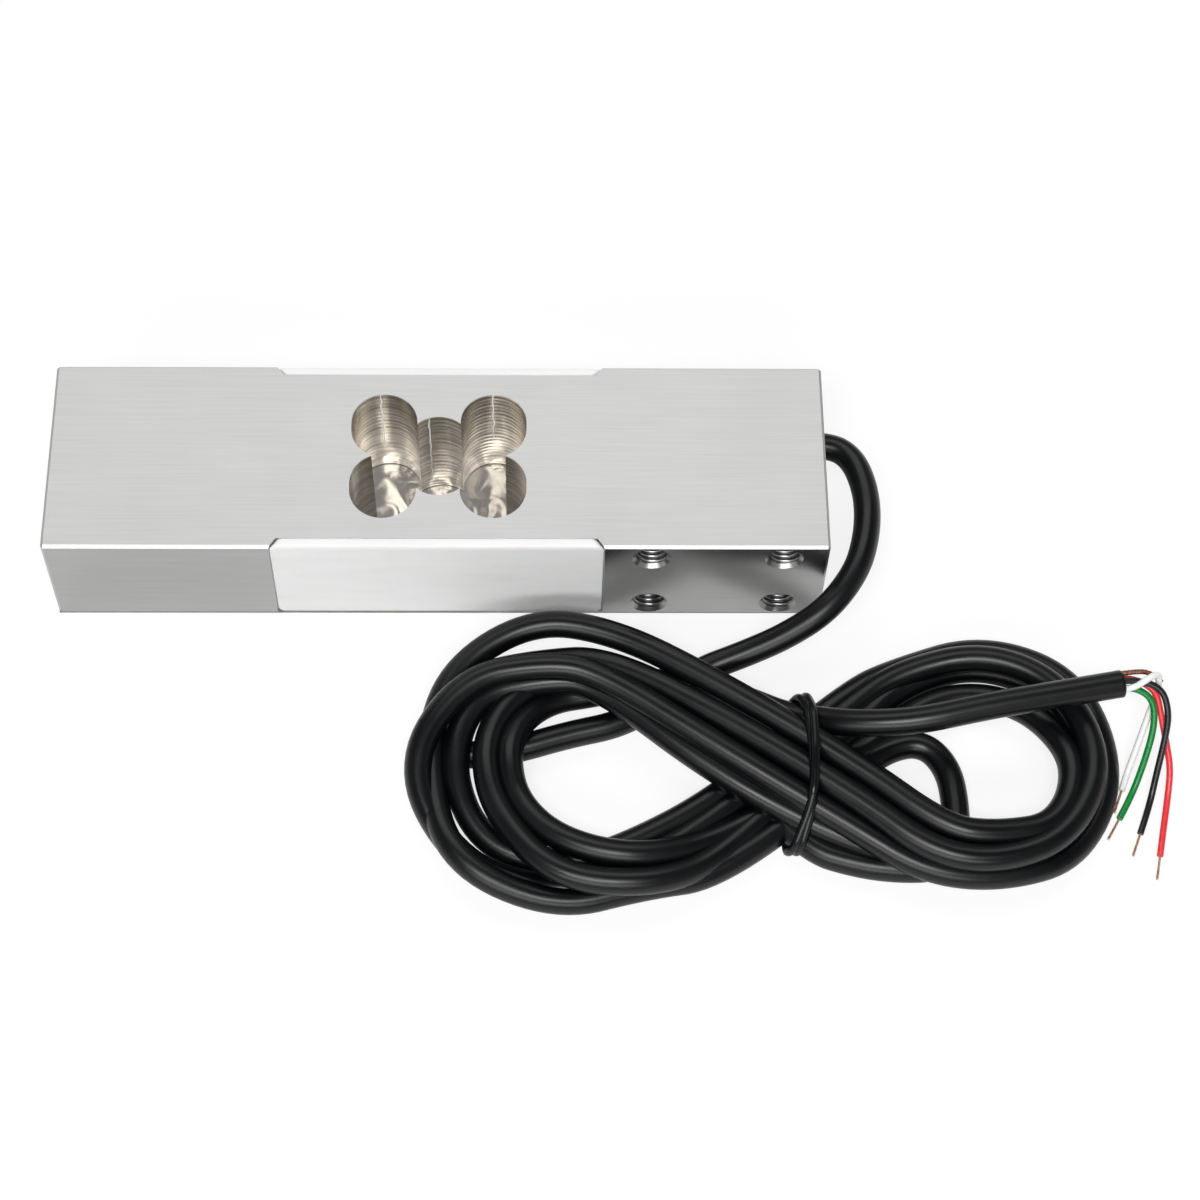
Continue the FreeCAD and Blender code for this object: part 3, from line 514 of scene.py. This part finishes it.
def fill(tree, node, inputs):
    """Gives each named or numbered socket a value, or a link where the value is another node's output."""
    for name, value in inputs.items():
        if isinstance(value, bpy.types.NodeSocket):
            tree.links.new(value, node.inputs[name])
        else:
            node.inputs[name].default_value = value


def set_sockets(tree, node, **sockets):
    """Sets or links sockets of a node that is there already; an underscore in a name stands for a space."""
    fill(tree, node, {name.replace("_", " "): value for name, value in sockets.items()})


def add(tree, kind, inputs=None, **settings):
    """Adds a node: settings are its properties, inputs its sockets, each a value or another node's output."""
    node = tree.nodes.new("ShaderNode" + kind)
    for name, value in settings.items():
        setattr(node, name, value)
    fill(tree, node, inputs or {})
    return node


def dress(piece, material):
    """Makes the material the only one of the piece."""
    piece.data.materials.clear()
    piece.data.materials.append(material)


# %% [markdown]
# ### Machined aluminium
# The bar is cut from drawn aluminium and its faces are ground along its length, which leaves fine lines that stretch
# the reflections. Inside the cavity the cutter leaves rings, and the walls are painted a warmer colour, a painted
# reflection of the walls mirroring each other. The face's direction and place choose between the two, so one material
# serves the whole bar. Thin pale lines down the rear walls are painted highlights, the cavity's rim is painted paler
# as a highlight, and a thin dark band at the walls' foot is painted shade.

# %% Aluminium: which faces are the cavity's
CAVITY_HALF_LENGTH, CAVITY_HALF_DEPTH = 0.0174, 0.0142
WALL_RISE, BACK_WALL, FRONT_FACE = 0.6, -0.5, -0.98  # limits of the normal's z and y
aluminium, tree, shader = start_material("aluminium_ground_6061")
place = add(tree, "TexCoord").outputs["Object"]
spot = add(tree, "SeparateXYZ", {"Vector": place})
facing = add(tree, "SeparateXYZ", {"Vector": add(tree, "NewGeometry").outputs["Normal"]})
off_x = add(tree, "Math", {0: spot.outputs["X"]}, operation="ABSOLUTE")
off_y = add(tree, "Math", {0: spot.outputs["Y"]}, operation="ABSOLUTE")
rise = add(tree, "Math", {0: facing.outputs["Z"]}, operation="ABSOLUTE")
near_x = add(tree, "Math", {0: off_x.outputs[0], 1: CAVITY_HALF_LENGTH}, operation="LESS_THAN")
near_y = add(tree, "Math", {0: off_y.outputs[0], 1: CAVITY_HALF_DEPTH}, operation="LESS_THAN")
steep = add(tree, "Math", {0: rise.outputs[0], 1: WALL_RISE}, operation="LESS_THAN")
in_hole = add(tree, "Math", {0: near_x.outputs[0], 1: near_y.outputs[0]}, operation="MULTIPLY")
cavity = add(tree, "Math", {0: in_hole.outputs[0], 1: steep.outputs[0]}, operation="MULTIPLY")
back_wall = add(tree, "Math", {0: facing.outputs["Y"], 1: BACK_WALL}, operation="LESS_THAN")
front_face = add(tree, "Math", {0: facing.outputs["Y"], 1: FRONT_FACE}, operation="LESS_THAN")
print("cavity within", CAVITY_HALF_LENGTH / MM, CAVITY_HALF_DEPTH / MM, "mm of the middle")

# %% Aluminium: ground faces and cut walls
BRUSH_LENGTH, BRUSH_WIDTH = 0.022, 0.00022
BLOTCH_SIZE = 0.018
STREAKS_A_METRE = (90, 90, 900)  # about 11 mm long and 1.1 mm high
GROUND_ROUGH, FRONT_ROUGH, CUT_ROUGH = (0.28, 0.3), 0.22, 0.25
lines_along = add(tree, "Mapping", {"Vector": place,
                                    "Scale": (1 / BRUSH_LENGTH, 1 / BRUSH_WIDTH, 1 / BRUSH_WIDTH)})
brush = add(tree, "TexNoise", {"Vector": lines_along.outputs[0], "Scale": 1.0, "Detail": 3.0, "Roughness": 0.6})
blotch = add(tree, "TexNoise", {"Vector": place, "Scale": 1 / BLOTCH_SIZE, "Detail": 2.0})
lines_round = add(tree, "Mapping", {"Vector": place, "Scale": STREAKS_A_METRE})
stretch = add(tree, "TexNoise", {"Vector": lines_round.outputs[0], "Scale": 1.0, "Detail": 2.0})
ground = add(tree, "ValToRGB", {"Fac": brush.outputs["Fac"]})
ground.color_ramp.elements[0].position = 0.3
ground.color_ramp.elements[0].color = linear("#a8a8a7")
ground.color_ramp.elements[1].position = 0.72
ground.color_ramp.elements[1].color = linear("#b1b1b0")
# The cavity walls' light and dark streaks are the cutter's. Their warm tint is painted reflection of the walls
# mirroring each other.
wall_streaks_painted_warm = add(tree, "ValToRGB", {"Fac": stretch.outputs["Fac"]})
wall_streaks_painted_warm.color_ramp.elements[0].position = 0.3
wall_streaks_painted_warm.color_ramp.elements[0].color = linear("#a7a198")
wall_streaks_painted_warm.color_ramp.elements[1].position = 0.7
wall_streaks_painted_warm.color_ramp.elements[1].color = linear("#d6d0c8")
colour = add(tree, "Mix", {0: cavity.outputs[0], 6: ground.outputs["Color"], 7: wall_streaks_painted_warm.outputs["Color"]},
             data_type="RGBA")
ground_rough = add(tree, "MapRange", {"Value": blotch.outputs["Fac"], "From Min": 0.3, "From Max": 0.7,
                                      "To Min": GROUND_ROUGH[0], "To Max": GROUND_ROUGH[1]})
outer_rough = add(tree, "Mix", {0: front_face.outputs[0], 2: ground_rough.outputs[0], 3: FRONT_ROUGH},
                  data_type="FLOAT")
rough = add(tree, "Mix", {0: cavity.outputs[0], 2: outer_rough.outputs[0], 3: CUT_ROUGH}, data_type="FLOAT")
print("ground lines", BRUSH_LENGTH / MM, "mm long")

# %% Aluminium: relief of the lines and rings
RING_PITCH = 0.0012
WAVE_PERIOD = 2 * np.pi / 20  # a wave texture of scale 1 repeats after this length
BRUSH_DEPTH, RING_DEPTH = 0.00001, 0.00006
rings = add(tree, "TexWave", {"Vector": place, "Scale": WAVE_PERIOD / RING_PITCH, "Distortion": 1.0, "Detail": 1.0,
                              "Detail Scale": 0.4}, wave_type="BANDS", bands_direction="Z", wave_profile="SIN")
ring_strength = add(tree, "MapRange", {"Value": spot.outputs["X"], "From Min": -0.005, "From Max": 0.006,
                                       "To Min": 0.35, "To Max": 0.8})
brush_bump = add(tree, "Bump", {"Strength": 0.26, "Distance": BRUSH_DEPTH, "Height": brush.outputs["Fac"]})
ring_bump = add(tree, "Bump", {"Strength": ring_strength.outputs[0], "Distance": RING_DEPTH,
                               "Height": rings.outputs["Fac"]})
tooled = add(tree, "Mix", {0: cavity.outputs[0], 4: brush_bump.outputs[0], 5: ring_bump.outputs[0]},
             data_type="VECTOR")
print("cutter rings", RING_PITCH / MM, "mm apart")

# %% Aluminium: painted highlight lines and rim, and painted shade at the foot
HIGHLIGHT_LINES = ((-0.0115, 0.0085), (0.0104, 0.0100), (-0.0020, 0.0025))  # place along the bar, and lower end
LINE_HALF_WIDTH, RIM_HIGHLIGHT_BOTTOM, FOOT_SHADE_TOP = 0.00012, 0.02578, 0.0004
WOBBLE_SIZE, WOBBLE_REACH = 0.0016, 0.0003
HIGHLIGHT_METALLIC = 0.1
wobble = add(tree, "TexNoise", {"Vector": place, "Scale": 1 / WOBBLE_SIZE, "Detail": 2.0})
drift = add(tree, "MapRange", {"Value": wobble.outputs["Fac"], "To Min": -WOBBLE_REACH, "To Max": WOBBLE_REACH})
strayed = add(tree, "Math", {0: spot.outputs["X"], 1: drift.outputs[0]}, operation="ADD")
# Painted highlights: a pale rim at the cavity's top edge and thin near-white lines down its rear walls, nearly not
# metallic.
painted_highlights = add(tree, "Math", {0: spot.outputs["Z"], 1: RIM_HIGHLIGHT_BOTTOM}, operation="GREATER_THAN").outputs[0]
for line_place, line_end in HIGHLIGHT_LINES:
    on_line = add(tree, "Math", {0: strayed.outputs[0], 1: line_place, 2: LINE_HALF_WIDTH}, operation="COMPARE")
    above = add(tree, "Math", {0: spot.outputs["Z"], 1: line_end}, operation="GREATER_THAN")
    on_wall = add(tree, "Math", {0: on_line.outputs[0], 1: back_wall.outputs[0]}, operation="MULTIPLY")
    line_highlight = add(tree, "Math", {0: on_wall.outputs[0], 1: above.outputs[0]}, operation="MULTIPLY")
    painted_highlights = add(tree, "Math", {0: painted_highlights, 1: line_highlight.outputs[0]}, operation="MAXIMUM").outputs[0]
highlights_in_cavity = add(tree, "Math", {0: painted_highlights, 1: cavity.outputs[0]}, operation="MULTIPLY")
finish = add(tree, "Mix", {0: highlights_in_cavity.outputs[0], 6: colour.outputs[2], 7: linear("#fbfaf7")}, data_type="RGBA")
sheen = add(tree, "Mix", {0: highlights_in_cavity.outputs[0], 2: 1.0, 3: HIGHLIGHT_METALLIC}, data_type="FLOAT")
# Painted shade: the lowest 0.4 mm of the cavity walls is painted dark brown, where shade falls at their foot.
at_foot = add(tree, "Math", {0: spot.outputs["Z"], 1: FOOT_SHADE_TOP}, operation="LESS_THAN")
painted_foot_shade = add(tree, "Math", {0: at_foot.outputs[0], 1: cavity.outputs[0]}, operation="MULTIPLY")
with_foot_shade = add(tree, "Mix", {0: painted_foot_shade.outputs[0], 6: finish.outputs[2], 7: linear("#4a443d")}, data_type="RGBA")
set_sockets(tree, shader, Base_Color=with_foot_shade.outputs[2], Metallic=sheen.outputs[0], Roughness=rough.outputs[0],
            Normal=tooled.outputs[1])
dress(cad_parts["beam_body"], aluminium)
dress(hole_threads, aluminium)
print(aluminium.name, len(tree.nodes), "nodes")

# %% [markdown]
# ### White silicone
# The recesses are filled with a white room-temperature silicone, wiped flat while soft. It is matt, lets a little
# light in, and is faintly uneven where the blade passed.

# %% White silicone
STROKES_A_METRE = (60, 400, 400)  # about 17 mm long and 2.5 mm high
SILICONE_GRAIN, SILICONE_RELIEF = 0.0004, 0.00003
silicone, tree, shader = start_material("silicone_wiped_white")
place = add(tree, "TexCoord").outputs["Object"]
strokes = add(tree, "Mapping", {"Vector": place, "Scale": STROKES_A_METRE})
wipe = add(tree, "TexNoise", {"Vector": strokes.outputs[0], "Scale": 1.0, "Detail": 2.0})
grain = add(tree, "TexNoise", {"Vector": place, "Scale": 1 / SILICONE_GRAIN, "Detail": 2.0})
tone = add(tree, "ValToRGB", {"Fac": wipe.outputs["Fac"]})
tone.color_ramp.elements[0].color = linear("#e9e9e8")
tone.color_ramp.elements[1].color = linear("#f3f3f2")
relief = add(tree, "Math", {0: grain.outputs["Fac"], 1: wipe.outputs["Fac"]}, operation="ADD")
soft_bump = add(tree, "Bump", {"Strength": 0.35, "Distance": SILICONE_RELIEF, "Height": relief.outputs[0]})
set_sockets(tree, shader, Base_Color=tone.outputs["Color"], Roughness=0.42, Subsurface_Weight=0.15,
            Subsurface_Scale=0.002, IOR=1.41, Normal=soft_bump.outputs[0])
for piece in (front_silicone, rear_silicone):
    dress(piece, silicone)
print(silicone.name)

# %% [markdown]
# ### Black PVC and rubber
# The sheath is extruded PVC, satin and nearly black, with a soft wide highlight and a fine grain. The band is natural
# rubber, the same black but smoother. The seal in the bore is the same rubber.

# %% Black PVC and rubber
WORN_PATCH = 0.012
SHINE_SPREAD = 0.05
SKIN_RELIEF = 0.00002


def black_skin(name, colour, worn, roughness, grain_size):
    """Black polymer: a dark base that pales a little where worn, uneven in its shine, with fine grain in its bump."""
    material, tree, shader = start_material(name)
    place = add(tree, "TexCoord").outputs["Object"]
    grain = add(tree, "TexNoise", {"Vector": place, "Scale": 1 / grain_size, "Detail": 3.0})
    patch = add(tree, "TexNoise", {"Vector": place, "Scale": 1 / WORN_PATCH, "Detail": 3.0})
    tone = add(tree, "ValToRGB", {"Fac": patch.outputs["Fac"]})
    tone.color_ramp.elements[0].position = 0.35
    tone.color_ramp.elements[0].color = linear(colour)
    tone.color_ramp.elements[1].position = 0.8
    tone.color_ramp.elements[1].color = linear(worn)
    shine = add(tree, "MapRange", {"Value": patch.outputs["Fac"], "From Min": 0.3, "From Max": 0.7,
                                   "To Min": roughness - SHINE_SPREAD, "To Max": roughness + SHINE_SPREAD})
    bump = add(tree, "Bump", {"Strength": 0.25, "Distance": SKIN_RELIEF, "Height": grain.outputs["Fac"]})
    set_sockets(tree, shader, Base_Color=tone.outputs["Color"], Roughness=shine.outputs[0], IOR=1.42,
                Normal=bump.outputs[0])
    return material


sheath = black_skin("pvc_extruded_black", "#040608", "#090b0d", 0.32, 0.0003)
band_rubber = black_skin("rubber_moulded_black", "#06080a", "#0b0d0f", 0.26, 0.0004)
for piece in (cable, sheath_rim):
    dress(piece, sheath)
for piece in (rubber_band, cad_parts["cable_seal"]):
    dress(piece, band_rubber)
print(sheath.name, band_rubber.name)

# %% [markdown]
# ### Core insulation
# The cores are coloured PVC, glossier than the sheath, and a little light passes through their thin walls. One
# function makes each colour from a deeper and a lighter shade, and the cable's filler and inner cores share a white.

# %% Core insulation
MOTTLE_SIZE = 0.0011
WIRE_RELIEF = 0.00001


def insulation(name, colour, deep):
    """Coloured PVC with a faint mottling from a deeper to a lighter shade of its colour."""
    material, tree, shader = start_material(name)
    place = add(tree, "TexCoord").outputs["Object"]
    mottle = add(tree, "TexNoise", {"Vector": place, "Scale": 1 / MOTTLE_SIZE, "Detail": 2.0})
    tone = add(tree, "ValToRGB", {"Fac": mottle.outputs["Fac"]})
    tone.color_ramp.elements[0].color = linear(deep)
    tone.color_ramp.elements[1].color = linear(colour)
    bump = add(tree, "Bump", {"Strength": 0.2, "Distance": WIRE_RELIEF, "Height": mottle.outputs["Fac"]})
    set_sockets(tree, shader, Base_Color=tone.outputs["Color"], Roughness=0.3, IOR=1.52, Subsurface_Weight=0.08,
                Subsurface_Scale=0.0006, Normal=bump.outputs[0])
    return material


INSULATION_SHADES = {
    "red": ("#f4464b", "#dc2832"), "black": ("#1c1d1f", "#111213"),
    "green": ("#0c9642", "#056f30"), "white": ("#fafaf8", "#f0f0ee"),
}
for core_colour, shades in INSULATION_SHADES.items():
    dress(cores[core_colour], insulation("pvc_insulation_" + core_colour, *shades))
inner_white = insulation("pvc_insulation_inner", "#efeeea", "#dcdbd6")
for piece in (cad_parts["inner_cores"], core_filler):
    dress(piece, inner_white)
print("insulation", list(INSULATION_SHADES))

# %% [markdown]
# ### Copper wire
# Bare ends are drawn copper, bright where it was stripped and browner in streaks. The drain wire has gone brown, and
# the jumpers inside are tinned. All are drawn wire, so one function with two shades of metal serves.

# %% Drawn wire
STREAK_SIZE = 0.0007


def drawn_wire(name, bright, dull, roughness):
    """Metal wire: bright where it was drawn, duller in streaks a few tenths of a millimetre long."""
    material, tree, shader = start_material(name)
    place = add(tree, "TexCoord").outputs["Object"]
    streak = add(tree, "TexNoise", {"Vector": place, "Scale": 1 / STREAK_SIZE, "Detail": 3.0})
    tone = add(tree, "ValToRGB", {"Fac": streak.outputs["Fac"]})
    tone.color_ramp.elements[0].position = 0.35
    tone.color_ramp.elements[0].color = linear(dull)
    tone.color_ramp.elements[1].position = 0.7
    tone.color_ramp.elements[1].color = linear(bright)
    bump = add(tree, "Bump", {"Strength": 0.2, "Distance": WIRE_RELIEF, "Height": streak.outputs["Fac"]})
    set_sockets(tree, shader, Base_Color=tone.outputs["Color"], Metallic=1.0, Roughness=roughness,
                Normal=bump.outputs[0])
    return material


dress(copper_ends, drawn_wire("copper_drawn_bare", "#f2cfb6", "#d2a688", 0.45))
dress(drain_wire, drawn_wire("copper_drain_brown", "#b58a72", "#8a6450", 0.5))
tinned = drawn_wire("copper_tinned", "#d8d8d4", "#b4b4b0", 0.4)
for node in ("front_gauge_leads", "rear_gauge_leads", "bridge_wires"):
    dress(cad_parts[node], tinned)
print("wires dressed, jumpers in", tinned.name)

# %% [markdown]
# ### Inside the silicone
# The gauges, boards and resistors are under the silicone, but the part can be cut open or shown in section, so each
# gets its own finish: amber polyimide film with a foil sheen, glass-epoxy board with its weave, and resistor lacquer.

# %% Inner finishes
FOIL_GRAIN, CLOTH_PITCH, LACQUER_SPECK = 0.0006, 0.0005, 0.0003
film, tree, shader = start_material("polyimide_gauge_film")
place = add(tree, "TexCoord").outputs["Object"]
foil = add(tree, "TexNoise", {"Vector": place, "Scale": 1 / FOIL_GRAIN, "Detail": 2.0})
tone = add(tree, "ValToRGB", {"Fac": foil.outputs["Fac"]})
tone.color_ramp.elements[0].color = linear("#a8672a")
tone.color_ramp.elements[1].color = linear("#c98a43")
set_sockets(tree, shader, Base_Color=tone.outputs["Color"], Roughness=0.3, IOR=1.7)
for node in ("gauge_front_left", "gauge_front_right", "gauge_rear_left", "gauge_rear_right"):
    dress(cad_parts[node], film)

board, tree, shader = start_material("glass_epoxy_board")
place = add(tree, "TexCoord").outputs["Object"]
cloth = add(tree, "TexChecker", {"Vector": place, "Scale": 1 / CLOTH_PITCH, "Color1": linear("#2f7a48"),
                                 "Color2": linear("#2a6d40")})
set_sockets(tree, shader, Base_Color=cloth.outputs["Color"], Roughness=0.38, IOR=1.55)
for node in ("bridge_board", "rear_terminal"):
    dress(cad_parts[node], board)

lacquer, tree, shader = start_material("resistor_lacquer")
place = add(tree, "TexCoord").outputs["Object"]
speck = add(tree, "TexNoise", {"Vector": place, "Scale": 1 / LACQUER_SPECK, "Detail": 2.0})
tone = add(tree, "ValToRGB", {"Fac": speck.outputs["Fac"]})
tone.color_ramp.elements[0].color = linear("#5b7f9a")
tone.color_ramp.elements[1].color = linear("#79a0bb")
set_sockets(tree, shader, Base_Color=tone.outputs["Color"], Roughness=0.3, IOR=1.5)
dress(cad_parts["trim_resistors"], lacquer)
print(film.name, board.name, lacquer.name)

# %% [markdown]
# ## What each piece stands for
# Every new piece rides on the one body, and those that have a CAD solid take its place.

# %% Riding and replacing
STANDS_FOR = (
    (cable, ("cable_lead", "cable_coil", "cable_tail"), "cable_sheath"),
    (front_silicone, ("front_potting",), "white_silicone"),
    (rear_silicone, ("rear_potting",), "white_silicone"),
    (rubber_band, ("cable_tie",), "band_rubber"),
    (copper_ends, ("core_strands",), "bare_copper"),
    (drain_wire, ("shield_drain",), "drain_wire"),
    (sheath_rim, (), "cable_sheath"),
    (core_filler, (), "inner_insulation"),
    (hole_threads, (), "machined_aluminium"),
)
for piece, nodes, slot_name in STANDS_FOR:
    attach(piece, "root")
    if nodes:
        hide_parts(*nodes)
for core_colour, core in cores.items():
    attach(core, "root")
    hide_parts("core_" + core_colour)
print("pieces", len(STANDS_FOR) + len(cores))

# %% Number of cords
print("cords", 1 + len(cores))

# %% [markdown]
# ## The stage
# The object lies on a white sweep, and under the bar lies a polished plate, which the photograph shows through the
# cavity as a rippled mirror of its walls. Both could be modelled apart, but one sheet whose finish changes under the
# bar leaves no edge. More light would make the sweep white and the object pale with it, so the sheet glows instead,
# and only for rays that come from the camera or a mirror. Below the glow it is darker to the camera, so that the
# shadow stays soft, and paler to a mirror, so that the shadow shows in the bar's front.

# %% Floor
FLOOR_SIZE = 6.0
FLOOR_CORNERS = np.array([(-1, -1, 0), (1, -1, 0), (1, 1, 0), (-1, 1, 0)]) * FLOOR_SIZE / 2
floor = mesh_piece("floor", FLOOR_CORNERS / MM, [(0, 1, 2, 3)])
print("floor", FLOOR_SIZE, "m")

# %% Floor: which rays see it, and what lies under the bar
BAR_HALF_LENGTH, BAR_HALF_DEPTH = 0.075, 0.0205
paper, tree, shader = start_material("paper_sweep_white")
ray = add(tree, "LightPath")
seen = add(tree, "Math", {0: ray.outputs["Is Camera Ray"], 1: ray.outputs["Is Glossy Ray"]}, operation="MAXIMUM")
shown = add(tree, "Math", {0: seen.outputs[0], 1: ray.outputs["Is Transmission Ray"]}, operation="MAXIMUM")
place = add(tree, "TexCoord").outputs["Object"]
spot = add(tree, "SeparateXYZ", {"Vector": place})
off_x = add(tree, "Math", {0: spot.outputs["X"]}, operation="ABSOLUTE")
off_y = add(tree, "Math", {0: spot.outputs["Y"]}, operation="ABSOLUTE")
past_end = add(tree, "Math", {0: off_x.outputs[0], 1: BAR_HALF_LENGTH}, operation="GREATER_THAN")
past_side = add(tree, "Math", {0: off_y.outputs[0], 1: BAR_HALF_DEPTH}, operation="GREATER_THAN")
open_floor = add(tree, "Math", {0: past_end.outputs[0], 1: past_side.outputs[0]}, operation="MAXIMUM")
under_bar = add(tree, "Math", {0: 1.0, 1: open_floor.outputs[0]}, operation="SUBTRACT")
print("plate", 2 * BAR_HALF_LENGTH / MM, "x", 2 * BAR_HALF_DEPTH / MM, "mm")

# %% Floor: glow
FLOOR_GLOW, MIRRORED_GLOW = 0.78, 0.17
PLATE_GLOW, WALL_FOOT_GLOW, WALL_FOOT = 0.18, 0.75, 0.014
# Painted light: the plate under the bar glows a warm white. To the camera it glows evenly, and to mirrors it glows
# more and more towards the rear wall's foot, so the lower cavity walls mirror a bright floor.
lit = add(tree, "Math", {0: shown.outputs[0], 1: open_floor.outputs[0]}, operation="MULTIPLY")
in_cavity = add(tree, "Math", {0: shown.outputs[0], 1: under_bar.outputs[0]}, operation="MULTIPLY")
painted_foot_light = add(tree, "MapRange", {"Value": spot.outputs["Y"], "From Min": 0.0, "From Max": WALL_FOOT,
                                 "To Min": PLATE_GLOW, "To Max": WALL_FOOT_GLOW})
plate_glow = add(tree, "Mix", {0: ray.outputs["Is Camera Ray"], 2: painted_foot_light.outputs[0], 3: PLATE_GLOW},
                 data_type="FLOAT")
dim = add(tree, "Math", {0: in_cavity.outputs[0], 1: plate_glow.outputs[0]}, operation="MULTIPLY")
sweep_glow = add(tree, "Mix", {0: ray.outputs["Is Camera Ray"], 2: MIRRORED_GLOW, 3: FLOOR_GLOW}, data_type="FLOAT")
glow = add(tree, "Math", {0: lit.outputs[0], 1: sweep_glow.outputs[0], 2: dim.outputs[0]}, operation="MULTIPLY_ADD")
painted_warm_glow = add(tree, "Mix", {0: under_bar.outputs[0], 6: linear("#ffffff"), 7: linear("#fffaf4")}, data_type="RGBA")
print("glow to the camera", FLOOR_GLOW, "to mirrors", MIRRORED_GLOW)

# %% Floor: colour and ripples
PAPER_ROUGH, PLATE_ROUGH = 1.0, 0.14
RIPPLE_SIZE, RIPPLE_DEPTH = 0.008, 0.0013
bounced = add(tree, "Mix", {0: shown.outputs[0], 6: linear("#c4c4c4"), 7: linear("#e6e6e6")}, data_type="RGBA")
sweep = add(tree, "Mix", {0: ray.outputs["Is Camera Ray"], 6: bounced.outputs[2], 7: linear("#858585")},
            data_type="RGBA")
tone = add(tree, "Mix", {0: under_bar.outputs[0], 6: sweep.outputs[2], 7: linear("#838079")}, data_type="RGBA")
matt = add(tree, "Mix", {0: under_bar.outputs[0], 2: PAPER_ROUGH, 3: PLATE_ROUGH}, data_type="FLOAT")
ripple = add(tree, "TexNoise", {"Vector": place, "Scale": 1 / RIPPLE_SIZE, "Detail": 1.5, "Distortion": 0.9})
wavy = add(tree, "Bump", {"Strength": under_bar.outputs[0], "Distance": RIPPLE_DEPTH,
                          "Height": ripple.outputs["Fac"]})
set_sockets(tree, shader, Base_Color=tone.outputs[2], Roughness=matt.outputs[0], Specular_IOR_Level=0.0,
            Metallic=under_bar.outputs[0], Emission_Color=painted_warm_glow.outputs[2], Emission_Strength=glow.outputs[0],
            Normal=wavy.outputs[0])
dress(floor, paper)
print(paper.name, len(tree.nodes), "nodes")


# %% [markdown]
# ## Lamps and room
# Small lamps would leave hot spots on ground metal, so large soft ones stand behind, above and in front, and each
# face of the bar mirrors something even. The room is the world: dim, with a pale wall behind that lights the rear
# face. Metal mirrors grey walls up to half height instead, and the camera sees a backdrop as pale as the far floor.

# %% Lamps
def soft_lamp(name, place, aim, size, watts):
    """A rectangular lamp at place that shines on the point aim."""
    lamp = bpy.data.lights.new(name, "AREA")
    lamp.shape = "RECTANGLE"
    lamp.size, lamp.size_y = size
    lamp.energy = watts
    stand = bpy.data.objects.new(name, lamp)
    away = unit(np.array(place) - aim)
    side = unit(np.cross((0, 0, 1), away))
    stand.matrix_world = placed(place, side, np.cross(away, side), away)
    bpy.context.collection.objects.link(stand)


MIDDLE = np.array((0.03, -0.03, 0.01))
soft_lamp("lamp_behind", (0.0, 0.60, 1.0), MIDDLE, (1.0, 0.55), 3.1)
soft_lamp("lamp_over", (-0.05, -0.64, 1.15), MIDDLE, (0.7, 0.35), 10.6)
soft_lamp("lamp_front", (-0.15, -1.15, 0.7), MIDDLE, (1.2, 0.4), 7.2)

# %% Room
ROOM_LIGHT, ROOM_WALLS, REAR_WALL, BACKDROP = 0.08, 0.32, 0.85, 0.82
WALL_FADE, REAR_FADE = (0.3, 0.75), (0.1, 1.0)
world = bpy.data.worlds.new("studio")
bpy.context.scene.world = world
world.use_nodes = True
tree = world.node_tree
heading = add(tree, "SeparateXYZ", {"Vector": add(tree, "TexCoord").outputs["Generated"]})
walls = add(tree, "MapRange", {"Value": heading.outputs["Z"], "From Min": WALL_FADE[0], "From Max": WALL_FADE[1],
                               "To Min": ROOM_WALLS, "To Max": ROOM_LIGHT}, interpolation_type="SMOOTHSTEP")
rear = add(tree, "MapRange", {"Value": heading.outputs["Y"], "From Min": REAR_FADE[0], "From Max": REAR_FADE[1],
                              "To Min": ROOM_LIGHT, "To Max": REAR_WALL}, interpolation_type="SMOOTHSTEP")
ray = add(tree, "LightPath")
cast = add(tree, "Mix", {0: ray.outputs["Is Glossy Ray"], 2: rear.outputs[0], 3: walls.outputs[0]},
           data_type="FLOAT")
strength = add(tree, "Mix", {0: ray.outputs["Is Camera Ray"], 2: cast.outputs[0], 3: BACKDROP}, data_type="FLOAT")
set_sockets(tree, tree.nodes["Background"], Color=(1, 1, 1, 1), Strength=strength.outputs[0])
bpy.context.scene.view_settings.view_transform = "Standard"
print("room", ROOM_LIGHT, "rear wall", REAR_WALL)
